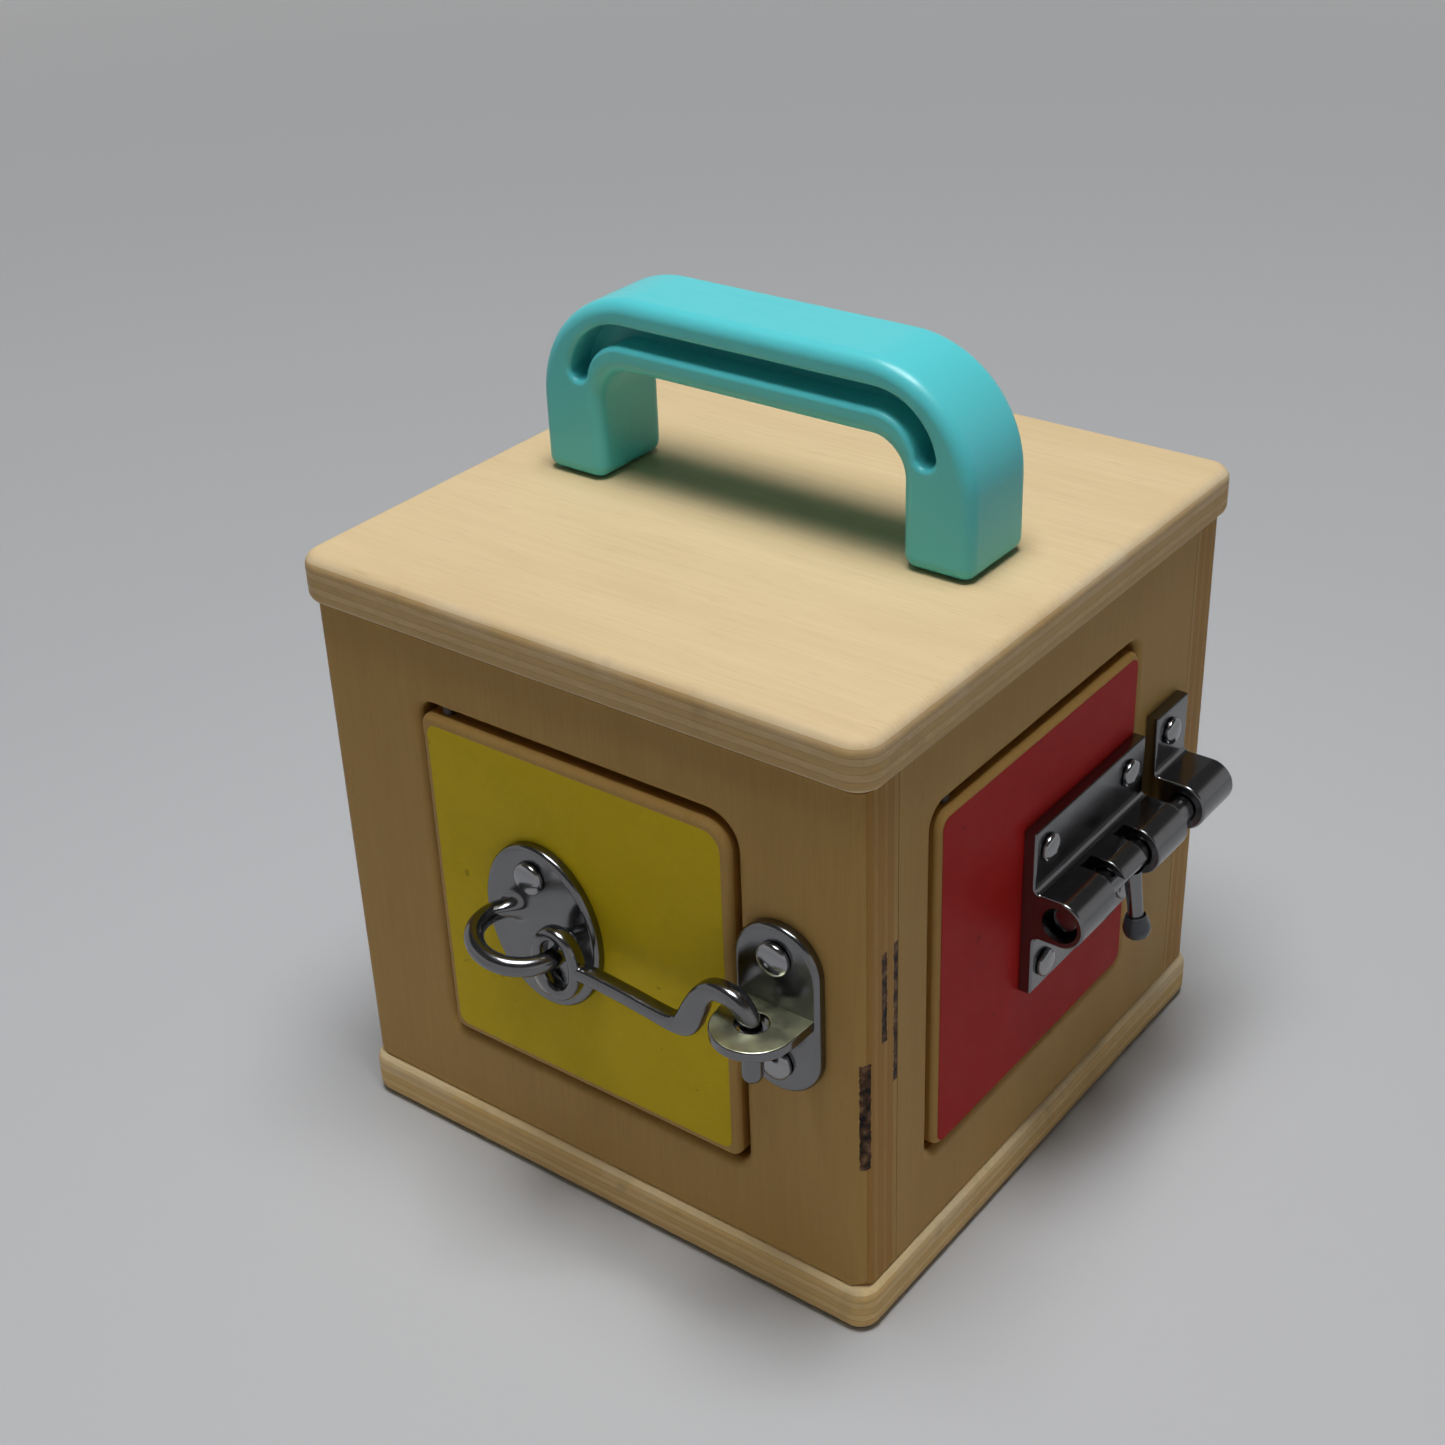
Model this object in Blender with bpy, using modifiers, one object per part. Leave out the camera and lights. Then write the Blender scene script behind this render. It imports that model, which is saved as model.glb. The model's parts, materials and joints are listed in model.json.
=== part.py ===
"""Wooden latch box: a plywood cube with four little doors, each with its own catch, and a carrying handle.

Metres, +Z up. The origin is the middle of the underside of the base. The front (yellow door) faces -Y
and the right side (red door) faces +X. Each side has its own frame of axes, seen from outside: u to the
right, v up and w straight out of the wood.
"""

import math

import bmesh
import bpy
import numpy as np
from mathutils import Matrix

# Fits and working allowances
FACE_GAP = 0.0002
PIN_GAP = 0.0003
CUT_OVERRUN = 0.004
JOIN_DEPTH = 0.0008
WELD = 0.000001

# Plywood case
PLY = 0.012
LID_OVERHANG = 0.0021
LID_CORNER = 0.006
BASE_OVERHANG = 0.0014
BASE_CORNER = 0.005
BOARD_EDGE_ROUND = 0.003
BODY_WIDTH = 0.1458
BODY_DEPTH = 0.1488
BODY_HEIGHT = 0.125
BODY_CORNER_ROUND = 0.0035

# Doors and the openings they fill
OPENING_ABOVE_BASE = 0.0202
OPENING_BELOW_LID = 0.0164
FRONT_HINGE_STILE = 0.0296
FRONT_LATCH_STILE = 0.0306
SIDE_HINGE_STILE = 0.0246
SIDE_LATCH_STILE = 0.0386
OPENING_EDGE_ROUND = 0.0024
OPENING_CORNER = 0.003
OPENING_CORNER_WIDE = 0.0075
OPENING_CORNER_MIDDLE = 0.0045
DOOR_SIDE_GAP = 0.001
DOOR_BOTTOM_GAP = 0.0014
DOOR_TOP_GAP = 0.0016
DOOR_PROUD = 0.001
DOOR_EDGE_ROUND = 0.0016
DOOR_CORNER = 0.003
DOOR_CORNER_WIDE = 0.0065
DOOR_CORNER_MIDDLE = 0.0038

# Hidden pivot pins of the doors
PIN_RADIUS = 0.0014
PIN_LENGTH = 0.015
PIN_IN_DOOR = 0.006
PIN_FROM_EDGE = 0.006
PIN_BEHIND_FACE = 0.0035

# Moulded handle
HANDLE_FROM_SIDE = 0.0154
HANDLE_THICKNESS = 0.023
HANDLE_HEIGHT = 0.045
HANDLE_SHIFT = -0.0005
HANDLE_LEG = 0.0172
HANDLE_BAR = 0.017
HANDLE_OUTER_CORNER = 0.027
HANDLE_INNER_CORNER = 0.008
HANDLE_EDGE_ROUND = 0.0032
SLOT_HALF_WIDTH = 0.0025
SLOT_DEPTH = 0.008
SLOT_LIP = 0.0012
SLOT_LINE_HEIGHT = 0.0365
SLOT_LINE_HALF_SPAN = 0.0462
SLOT_LINE_BEND = 0.013
SLOT_LINE_END_HEIGHT = 0.0262
HANDLE_SCREW_FROM_END = 0.0088
HANDLE_SCREW_LENGTH = 0.026

# Screws
SCREW_SHANK_RADIUS = 0.0017
SCREW_LENGTH = 0.009
SCREW_POINT_LENGTH = 0.002
SCREW_TIP_RADIUS = 0.0004
WIDE_HEAD_RADIUS = 0.0039
WIDE_HEAD_HEIGHT = 0.0021
NARROW_HEAD_RADIUS = 0.0033
NARROW_HEAD_HEIGHT = 0.0018

# Hook and eye of the yellow door
PLATE_THICKNESS = 0.0025
PLATE_EDGE_ROUND = 0.0013
HOOK_PLATE_HALF_WIDTH = 0.0158
HOOK_PLATE_HALF_HEIGHT = 0.0203
HOOK_PLATE_FROM_EDGE = 0.0516
HOOK_PLATE_TILT = math.radians(7)
HOOK_PLATE_SCREW_REACH = 0.0128
RING_LIFT = 0.0016
RING_RADIUS = 0.0099
RING_WIRE_RADIUS = 0.0022
RING_HALF_CHORD = 0.0076
RING_TILT = math.radians(-8)
RING_ROOT_SHARE = 1.35
HOOK_OUT = 0.0098
HOOK_EYE_SHIFT_U = 0.0005
HOOK_EYE_SHIFT_V = -0.0014
HOOK_EYE_HALF_WIDTH = 0.0053
HOOK_EYE_HALF_HEIGHT = 0.0076
HOOK_EYE_HALF_WALL = 0.0015
HOOK_HALF_THICKNESS = 0.002
HOOK_TIP_RADIUS = 0.0024
HOOK_TIP_SHIFT = -0.0003
HOOK_RISE = 0.01
HOOK_WIDEST = 0.003
EYE_PLATE_FROM_EDGE = 0.011
EYE_PLATE_LIFT = 0.0044
EYE_PLATE_WIDTH = 0.0207
EYE_PLATE_HEIGHT = 0.0412
EYE_PLATE_SCREW_REACH = 0.0131
SHELF_WIDTH = 0.0186
SHELF_THICKNESS = 0.0024
SHELF_REACH = 0.0194
SHELF_LIFT = 0.0056
SHELF_EDGE_ROUND = 0.0008
SHELF_HOLE_RADIUS = 0.0034
SHELF_HOLE_SHIFT = -0.0006
SHELF_HOLE_OUT = 0.0099

# Barrel bolt of the red door
BOLT_FROM_EDGE = 0.0358
BOLT_LIFT = 0.0004
BOLT_PLATE_HEIGHT = 0.042
BOLT_PLATE_THICKNESS = 0.003
BOLT_PLATE_START = -0.015
BOLT_PLATE_END = 0.034
BOLT_EDGE_ROUND = 0.0006
BOLT_FILLET = 0.0015
BARREL_OUT = 0.0105
BARREL_RADIUS = 0.0058
BARREL_BORE_RADIUS = 0.0037
BARREL_MOUTH_RADIUS = 0.0043
BARREL_MOUTH_DEPTH = 0.006
BOLT_ROD_RADIUS = 0.0033
BOLT_ROD_START = -0.0125
BOLT_ROD_END = 0.054
BOLT_ROD_CHAMFER = 0.0008
BOLT_WINDOW_START = 0.0
BOLT_WINDOW_END = 0.020
BOLT_NOTCH = 0.005
BOLT_WINDOW_BACK = 0.0068
BOLT_BRIDGE_UNDERSIDE = 0.0026
BOLT_SCREW_START_U = -0.0095
BOLT_SCREW_END_U = 0.0265
BOLT_SCREW_REACH_V = 0.0152
KNOB_U = 0.0175
KNOB_LEAN = math.radians(8)
KNOB_PIN_RADIUS = 0.0021
KNOB_TIP_START = 0.0155
KNOB_TIP_END = 0.0208
KNOB_TIP_NARROW = 0.0024
KNOB_TIP_WIDE = 0.0033
KNOB_TIP_WIDEST_SHARE = 0.6
KNOB_TIP_END_SHARE = 0.8
KEEPER_START = 0.042
KEEPER_END = 0.0572
KEEPER_SCREW_U = 0.0485

# Hasp and turning staple of the green door
HASP_FROM_EDGE = 0.0423
HASP_SHEET = 0.0015
HASP_HEIGHT = 0.025
HASP_LEAF_START = 0.012
HASP_PIN_U = 0.0345
HASP_PIN_OUT = 0.0048
HASP_PIN_RADIUS = 0.0014
HASP_KNUCKLE_RADIUS = 0.003
HASP_KNUCKLE_SHARE = 0.34
HASP_STRAP_END = 0.066
HASP_STRAP_HEIGHT = 0.022
HASP_SLOT_U = 0.0565
HASP_SLOT_LENGTH = 0.015
HASP_SLOT_WIDTH = 0.007
HASP_CORNER = 0.003
STAPLE_PLATE_WIDTH = 0.020
STAPLE_PLATE_HEIGHT = 0.038
STAPLE_STEM_RADIUS = 0.0018
STAPLE_HEAD_LENGTH = 0.0115
STAPLE_HEAD_THICKNESS = 0.0036
STAPLE_HEAD_HEIGHT = 0.009
STAPLE_HOLE_RADIUS = 0.0022
STAPLE_HOLE_SHARE = 0.58
HASP_SCREW_U = 0.018
HASP_SCREW_REACH = 0.0078
STAPLE_SCREW_REACH = 0.0148

# Turn button of the blue door
BUTTON_FROM_EDGE = 0.0127
BUTTON_PLATE_WIDTH = 0.016
BUTTON_PLATE_HEIGHT = 0.036
BUTTON_SCREW_REACH = 0.0128
BUTTON_ARM_LONG = 0.024
BUTTON_ARM_SHORT = 0.009
BUTTON_ARM_WIDTH = 0.011
BUTTON_ARM_THICKNESS = 0.003
BUTTON_RIVET_RADIUS = 0.002
BUTTON_RIVET_HEAD = 0.004
BUTTON_RIVET_HEAD_HEIGHT = 0.0016
BUTTON_LIFT_HEIGHT = 0.007
BUTTON_LIFT_RADIUS = 0.003
BUTTON_NECK_SHARE = 0.6

# How finely round shapes are stepped
CORNER_STEPS = 4
BIG_CORNER_STEPS = 8
EDGE_STEPS = 3
ROUND_STEPS = 20
SCREW_STEPS = 12
WIRE_STEPS = 2
RING_STEPS = 28
BAR_STEPS = 12

# Colours of the pieces
BIRCH = (0.72, 0.53, 0.32, 1.0)
YELLOW_PAINT = (0.60, 0.50, 0.03, 1.0)
RED_PAINT = (0.45, 0.03, 0.02, 1.0)
GREEN_PAINT = (0.03, 0.26, 0.07, 1.0)
BLUE_PAINT = (0.02, 0.10, 0.35, 1.0)
TURQUOISE = (0.06, 0.55, 0.50, 1.0)
CHROME = (0.62, 0.62, 0.64, 1.0)
STEEL = (0.35, 0.35, 0.36, 1.0)

HALF_WIDTH = BODY_WIDTH / 2
HALF_DEPTH = BODY_DEPTH / 2
BODY_TOP = PLY + BODY_HEIGHT
OPENING_BOTTOM = PLY + OPENING_ABOVE_BASE
OPENING_TOP = BODY_TOP - OPENING_BELOW_LID
DOOR_MIDDLE_V = (OPENING_BOTTOM + OPENING_TOP) / 2
FRONT_LATCH_EDGE = HALF_WIDTH - FRONT_LATCH_STILE
SIDE_LATCH_EDGE = HALF_DEPTH - SIDE_LATCH_STILE
HOOK_PLATE_U = FRONT_LATCH_EDGE - HOOK_PLATE_FROM_EDGE
RING_V = DOOR_MIDDLE_V + RING_LIFT
HOOK_PIVOT_U = HOOK_PLATE_U + RING_RADIUS * math.cos(RING_TILT)
HOOK_PIVOT_V = RING_V + RING_RADIUS * math.sin(RING_TILT)
EYE_PLATE_U = FRONT_LATCH_EDGE + EYE_PLATE_FROM_EDGE
EYE_PLATE_V = DOOR_MIDDLE_V + EYE_PLATE_LIFT
SHELF_TOP = DOOR_MIDDLE_V + SHELF_LIFT
HOOK_LENGTH = EYE_PLATE_U + SHELF_HOLE_SHIFT + HOOK_TIP_SHIFT - HOOK_PIVOT_U
BOLT_U = SIDE_LATCH_EDGE - BOLT_FROM_EDGE
BOLT_V = DOOR_MIDDLE_V + BOLT_LIFT
HASP_U = FRONT_LATCH_EDGE - HASP_FROM_EDGE
BUTTON_U = SIDE_LATCH_EDGE + BUTTON_FROM_EDGE
HANDLE_WIDTH = BODY_WIDTH - 2 * HANDLE_FROM_SIDE
DOOR_FACE = DOOR_PROUD
QUARTER = math.pi / 2


for old in list(bpy.data.objects):
    bpy.data.objects.remove(old, do_unlink=True)

parts = bpy.data.collections.new("latch_box")
cutters = bpy.data.collections.new("latch_box_cutters")
bpy.context.scene.collection.children.link(parts)
bpy.context.scene.collection.children.link(cutters)
cutters.hide_render = True


def material(name, colour, roughness, metallic):
    made = bpy.data.materials.new(name)
    made.use_nodes = True
    shader = made.node_tree.nodes["Principled BSDF"]
    shader.inputs["Base Color"].default_value = colour
    shader.inputs["Roughness"].default_value = roughness
    shader.inputs["Metallic"].default_value = metallic
    made.diffuse_color = colour
    return made


def wood(name):
    return material(name, BIRCH, 0.5, 0.0)


def chrome(name):
    return material(name, CHROME, 0.12, 1.0)


def frame(name, location, rotation, parent=None):
    """An empty that carries the axes of a side or of a joint."""
    empty = bpy.data.objects.new(name, None)
    empty.location = location
    empty.rotation_euler = rotation
    empty.parent = parent
    parts.objects.link(empty)
    return empty


def add(name, mesh, parent=None, location=(0, 0, 0), rotation=(0, 0, 0), look=None, cutter=False):
    """One object from a mesh. A cutter is hidden in renders and drawn as wire."""
    made = bpy.data.objects.new(name, mesh)
    made.parent = parent
    made.location = location
    made.rotation_euler = rotation
    if cutter:
        made.hide_render = True
        made.display_type = "WIRE"
        cutters.objects.link(made)
        return made
    mesh.materials.append(look)
    mesh.shade_smooth()
    mesh.set_sharp_from_angle(angle=math.radians(32))
    parts.objects.link(made)
    return made


def boolean(target, operation, other):
    change = target.modifiers.new(operation.lower() + "_" + other.name, "BOOLEAN")
    change.operation = operation
    change.solver = "EXACT"
    change.object = other


def cut(target, other):
    boolean(target, "DIFFERENCE", other)


def join(target, other):
    boolean(target, "UNION", other)


def arc(cu, cv, radius, start, end, steps):
    """Points along an arc, ends included."""
    return [
        (cu + radius * math.cos(start + (end - start) * n / steps),
         cv + radius * math.sin(start + (end - start) * n / steps))
        for n in range(steps + 1)
    ]


def rounded_rect(left, right, bottom, top, radii, steps=CORNER_STEPS):
    """A rectangle's outline, anticlockwise from the lower left corner, as the four radii are too."""
    a, b, c, d = radii
    return (
        arc(left + a, bottom + a, a, 2 * QUARTER, 3 * QUARTER, steps)
        + arc(right - b, bottom + b, b, 3 * QUARTER, 4 * QUARTER, steps)
        + arc(right - c, top - c, c, 0, QUARTER, steps)
        + arc(left + d, top - d, d, QUARTER, 2 * QUARTER, steps)
    )


def stadium(half_width, half_height, steps=BIG_CORNER_STEPS):
    """An upright shape with half-round ends."""
    straight = half_height - half_width
    return arc(0, straight, half_width, 0, 2 * QUARTER, steps) + arc(
        0, -straight, half_width, 2 * QUARTER, 4 * QUARTER, steps
    )


def circle(radius, steps=ROUND_STEPS, cu=0, cv=0):
    return arc(cu, cv, radius, 0, 4 * QUARTER * (steps - 1) / steps, steps - 1)


def smooth_line(points, per_span):
    """Points of a smooth curve through the given ones."""
    points = [np.array(p) for p in points]
    ends = [2 * points[0] - points[1], *points, 2 * points[-1] - points[-2]]
    line = []
    for n in range(1, len(ends) - 2):
        a, b, c, d = ends[n - 1 : n + 3]
        for t in np.arange(per_span) / per_span:
            bend = (2 * a - 5 * b + 4 * c - d) * t**2 + (3 * b - a - 3 * c + d) * t**3
            line.append(0.5 * (2 * b + (c - a) * t + bend))
    line.append(ends[-2])
    return line


def ribbon(line, half_widths, round_start=False, steps=4):
    """The outline of a flat bar that follows a line, its far end half-round and its near end if asked."""
    line = [np.array(p[:2]) for p in line]
    ahead = [line[min(n + 1, len(line) - 1)] - line[max(n - 1, 0)] for n in range(len(line))]
    normals = [np.array((-a[1], a[0])) / np.hypot(*a) for a in ahead]
    left = [tuple(p + n * w) for p, n, w in zip(line, normals, half_widths)]
    right = [tuple(p - n * w) for p, n, w in zip(line, normals, half_widths)]
    heading = math.atan2(normals[-1][1], normals[-1][0])
    far_end = arc(*line[-1], half_widths[-1], heading, heading - 2 * QUARTER, steps * 2)[1:-1]
    outline = left + far_end + right[::-1]
    if round_start:
        heading = math.atan2(-normals[0][1], -normals[0][0])
        outline += arc(*line[0], half_widths[0], heading, heading - 2 * QUARTER, steps * 2)[1:-1]
    return outline


def flat(name, loops, thickness, base=0.0):
    """A flat outline, with holes, thickened from base upwards along +Z. Returns a closed mesh."""
    curve = bpy.data.curves.new(name, "CURVE")
    curve.dimensions = "2D"
    curve.fill_mode = "BOTH"
    curve.extrude = thickness / 2
    for loop in loops:
        spline = curve.splines.new("POLY")
        spline.points.add(len(loop) - 1)
        for point, (u, v) in zip(spline.points, loop):
            point.co = (u, v, 0, 1)
        spline.use_cyclic_u = True
    return solid_from(curve, Matrix.Translation((0, 0, base + thickness / 2)))


def solid_from(curve, placed):
    """The welded mesh of a curve, moved by a matrix, with the curve removed."""
    guide = bpy.data.objects.new(curve.name, curve)
    parts.objects.link(guide)
    bpy.context.view_layer.update()
    evaluated = guide.evaluated_get(bpy.context.evaluated_depsgraph_get())
    mesh = bpy.data.meshes.new_from_object(evaluated)
    bpy.data.objects.remove(guide, do_unlink=True)
    bpy.data.curves.remove(curve)
    shape = bmesh.new()
    shape.from_mesh(mesh)
    bmesh.ops.remove_doubles(shape, verts=shape.verts, dist=WELD)
    bmesh.ops.dissolve_limit(
        shape, angle_limit=math.radians(0.5), verts=shape.verts, edges=shape.edges
    )
    bmesh.ops.transform(shape, matrix=placed, verts=shape.verts)
    bmesh.ops.recalc_face_normals(shape, faces=shape.faces)
    shape.to_mesh(mesh)
    shape.free()
    mesh.materials.clear()
    return mesh


def wire(name, points, radii):
    """A round wire along a line of points, with a radius at each."""
    curve = bpy.data.curves.new(name, "CURVE")
    curve.dimensions = "3D"
    curve.bevel_depth = 1
    curve.bevel_resolution = WIRE_STEPS
    curve.use_fill_caps = True
    spline = curve.splines.new("POLY")
    spline.points.add(len(points) - 1)
    for point, place, radius in zip(spline.points, points, radii):
        point.co = (*place, 1)
        point.radius = radius
    return solid_from(curve, Matrix.Identity(4))


def loft(name, rings, closed=False):
    """A solid skin through rings of points, capped at both ends unless it closes on itself."""
    mesh = bpy.data.meshes.new(name)
    shape = bmesh.new()
    loops = [[shape.verts.new(point) for point in ring] for ring in rings]
    pairs = list(zip(loops, loops[1:]))
    if closed:
        pairs.append((loops[-1], loops[0]))
    else:
        shape.faces.new(loops[0])
        shape.faces.new(loops[-1])
    for lower, upper in pairs:
        for n in range(len(lower)):
            m = (n + 1) % len(lower)
            shape.faces.new((lower[n], lower[m], upper[m], upper[n]))
    bmesh.ops.recalc_face_normals(shape, faces=shape.faces)
    shape.to_mesh(mesh)
    shape.free()
    return mesh


def bar_ring(place, across, half_width, half_thickness, squareness):
    """One ring of a bar's skin: round where squareness is 2, and more like a rectangle above that."""
    ring = []
    for n in range(BAR_STEPS):
        angle = 4 * QUARTER * (n + 0.5) / BAR_STEPS
        c, s = math.cos(angle), math.sin(angle)
        side = half_width * math.copysign(abs(c) ** (2 / squareness), c)
        lift = half_thickness * math.copysign(abs(s) ** (2 / squareness), s)
        ring.append((place[0] + across[0] * side, place[1] + across[1] * side, lift))
    return ring


def block(name, low, high):
    """A box between two corners."""
    mesh = bpy.data.meshes.new(name)
    shape = bmesh.new()
    bmesh.ops.create_cube(shape, size=1)
    size = [b - a for a, b in zip(low, high)]
    middle = [(a + b) / 2 for a, b in zip(low, high)]
    bmesh.ops.transform(
        shape, matrix=Matrix.Translation(middle) @ Matrix.Diagonal((*size, 1)), verts=shape.verts
    )
    shape.to_mesh(mesh)
    shape.free()
    return mesh


def rod(name, radius, start, end, steps=ROUND_STEPS, along="Z", places=((0, 0),)):
    """One or more straight cylinders from start to end along an axis, at the given places across it."""
    mesh = bpy.data.meshes.new(name)
    shape = bmesh.new()
    turn = {
        "X": Matrix.Rotation(QUARTER, 4, "Y"),
        "Y": Matrix.Rotation(-QUARTER, 4, "X"),
        "Z": Matrix.Identity(4),
    }
    for u, v in places:
        middle = (start + end) / 2
        offset = {"X": (middle, u, v), "Y": (u, middle, v), "Z": (u, v, middle)}
        bmesh.ops.create_cone(
            shape, cap_ends=True, segments=steps, radius1=radius, radius2=radius, depth=end - start,
            matrix=Matrix.Translation(offset[along]) @ turn[along],
        )
    shape.to_mesh(mesh)
    shape.free()
    return mesh


def round_edges(mesh, radius, choose, steps=EDGE_STEPS):
    """Rounds the sharp edges whose two ends both pass the test."""
    shape = bmesh.new()
    shape.from_mesh(mesh)
    edges = [
        edge for edge in shape.edges
        if edge.calc_face_angle(0) > math.radians(50) and all(choose(v.co) for v in edge.verts)
    ]
    bmesh.ops.bevel(
        shape, geom=edges, offset=radius, offset_type="OFFSET", segments=steps, profile=0.5,
        affect="EDGES", clamp_overlap=True,
    )
    shape.to_mesh(mesh)
    shape.free()
    return mesh


def turned(name, profile, steps):
    """A profile at +X, given from the top of its outer side down, turned round Z."""
    mesh = bpy.data.meshes.new(name)
    shape = bmesh.new()
    points = [shape.verts.new((x, 0, z)) for x, z in profile]
    for a, b in zip(points, points[1:]):
        shape.edges.new((a, b))
    shape.to_mesh(mesh)
    shape.free()
    holder = bpy.data.objects.new(name, mesh)
    parts.objects.link(holder)
    spin = holder.modifiers.new("turn", "SCREW")
    spin.steps = steps
    spin.render_steps = steps
    spin.use_merge_vertices = True
    spin.merge_threshold = WELD
    bpy.context.view_layer.update()
    evaluated = holder.evaluated_get(bpy.context.evaluated_depsgraph_get())
    made = bpy.data.meshes.new_from_object(evaluated)
    bpy.data.objects.remove(holder, do_unlink=True)
    return made


def screw_mesh(name, head_radius, head_height, length=SCREW_LENGTH):
    """A domed screw, the underside of its head at z = 0."""
    dome = [
        (head_radius * math.sin(QUARTER * n / 3), head_height * math.cos(QUARTER * n / 3) ** 0.8)
        for n in range(3)
    ]
    low = [
        (head_radius, head_height * 0.2),
        (head_radius, 0),
        (SCREW_SHANK_RADIUS, 0),
        (SCREW_SHANK_RADIUS, SCREW_POINT_LENGTH - length),
        (SCREW_TIP_RADIUS, -length),
        (0, -length),
    ]
    return turned(name, dome + low, SCREW_STEPS)


def screw(name, parent, u, v, w, wide=True, length=SCREW_LENGTH, rotation=(0, 0, 0)):
    sizes = (WIDE_HEAD_RADIUS, WIDE_HEAD_HEIGHT) if wide else (NARROW_HEAD_RADIUS, NARROW_HEAD_HEIGHT)
    mesh = screw_mesh(name, *sizes, length)
    return add(name, mesh, parent, (u, v, w + FACE_GAP), rotation, chrome(name + "_chrome"))


def screw_holes(name, parent, places, top, bottom):
    """Clearance holes for a row of screws, as one cutter."""
    drills = rod(name, SCREW_SHANK_RADIUS + PIN_GAP, bottom, top, SCREW_STEPS, "Z", places)
    return add(name, drills, parent, cutter=True)


def everywhere(co):
    return True


# Base board and lid board, both rounded on every edge

def board_outline(overhang, corner):
    half_width = HALF_WIDTH + overhang
    half_depth = HALF_DEPTH + overhang
    return rounded_rect(-half_width, half_width, -half_depth, half_depth, [corner] * 4)


base_outline = board_outline(BASE_OVERHANG, BASE_CORNER)
base_mesh = round_edges(flat("base_panel", [base_outline], PLY), BOARD_EDGE_ROUND, everywhere)
base = add("base_panel", base_mesh, look=wood("base_birch"))

lid_outline = board_outline(LID_OVERHANG, LID_CORNER)
lid_mesh = round_edges(flat("lid_panel", [lid_outline], PLY), BOARD_EDGE_ROUND, everywhere)
lid = add("lid_panel", lid_mesh, location=(0, 0, BODY_TOP), look=wood("lid_birch"))
HANDLE_BASE = BODY_TOP + PLY

# Four sides. The front and back boards run the full width, and the other two fit between them
front_span = (FRONT_HINGE_STILE - HALF_WIDTH, FRONT_LATCH_EDGE)
side_span = (SIDE_HINGE_STILE - HALF_DEPTH, SIDE_LATCH_EDGE)
SIDES = {
    "front": ((0, -HALF_DEPTH, 0), 0, HALF_WIDTH, front_span),
    "right": ((HALF_WIDTH, 0, 0), QUARTER, HALF_DEPTH - PLY - FACE_GAP, side_span),
    "back": ((0, HALF_DEPTH, 0), 2 * QUARTER, HALF_WIDTH, front_span),
    "left": ((-HALF_WIDTH, 0, 0), 3 * QUARTER, HALF_DEPTH - PLY - FACE_GAP, side_span),
}
CORNERS = {
    "front": ([OPENING_CORNER, OPENING_CORNER, OPENING_CORNER_WIDE, OPENING_CORNER],
              [DOOR_CORNER, DOOR_CORNER, DOOR_CORNER_WIDE, DOOR_CORNER]),
    "right": ([OPENING_CORNER, OPENING_CORNER, OPENING_CORNER, OPENING_CORNER_MIDDLE],
              [DOOR_CORNER, DOOR_CORNER, DOOR_CORNER, DOOR_CORNER_MIDDLE]),
    "back": ([OPENING_CORNER] * 4, [DOOR_CORNER] * 4),
    "left": ([OPENING_CORNER] * 4, [DOOR_CORNER] * 4),
}
PAINTS = {"front": YELLOW_PAINT, "right": RED_PAINT, "back": GREEN_PAINT, "left": BLUE_PAINT}

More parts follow.
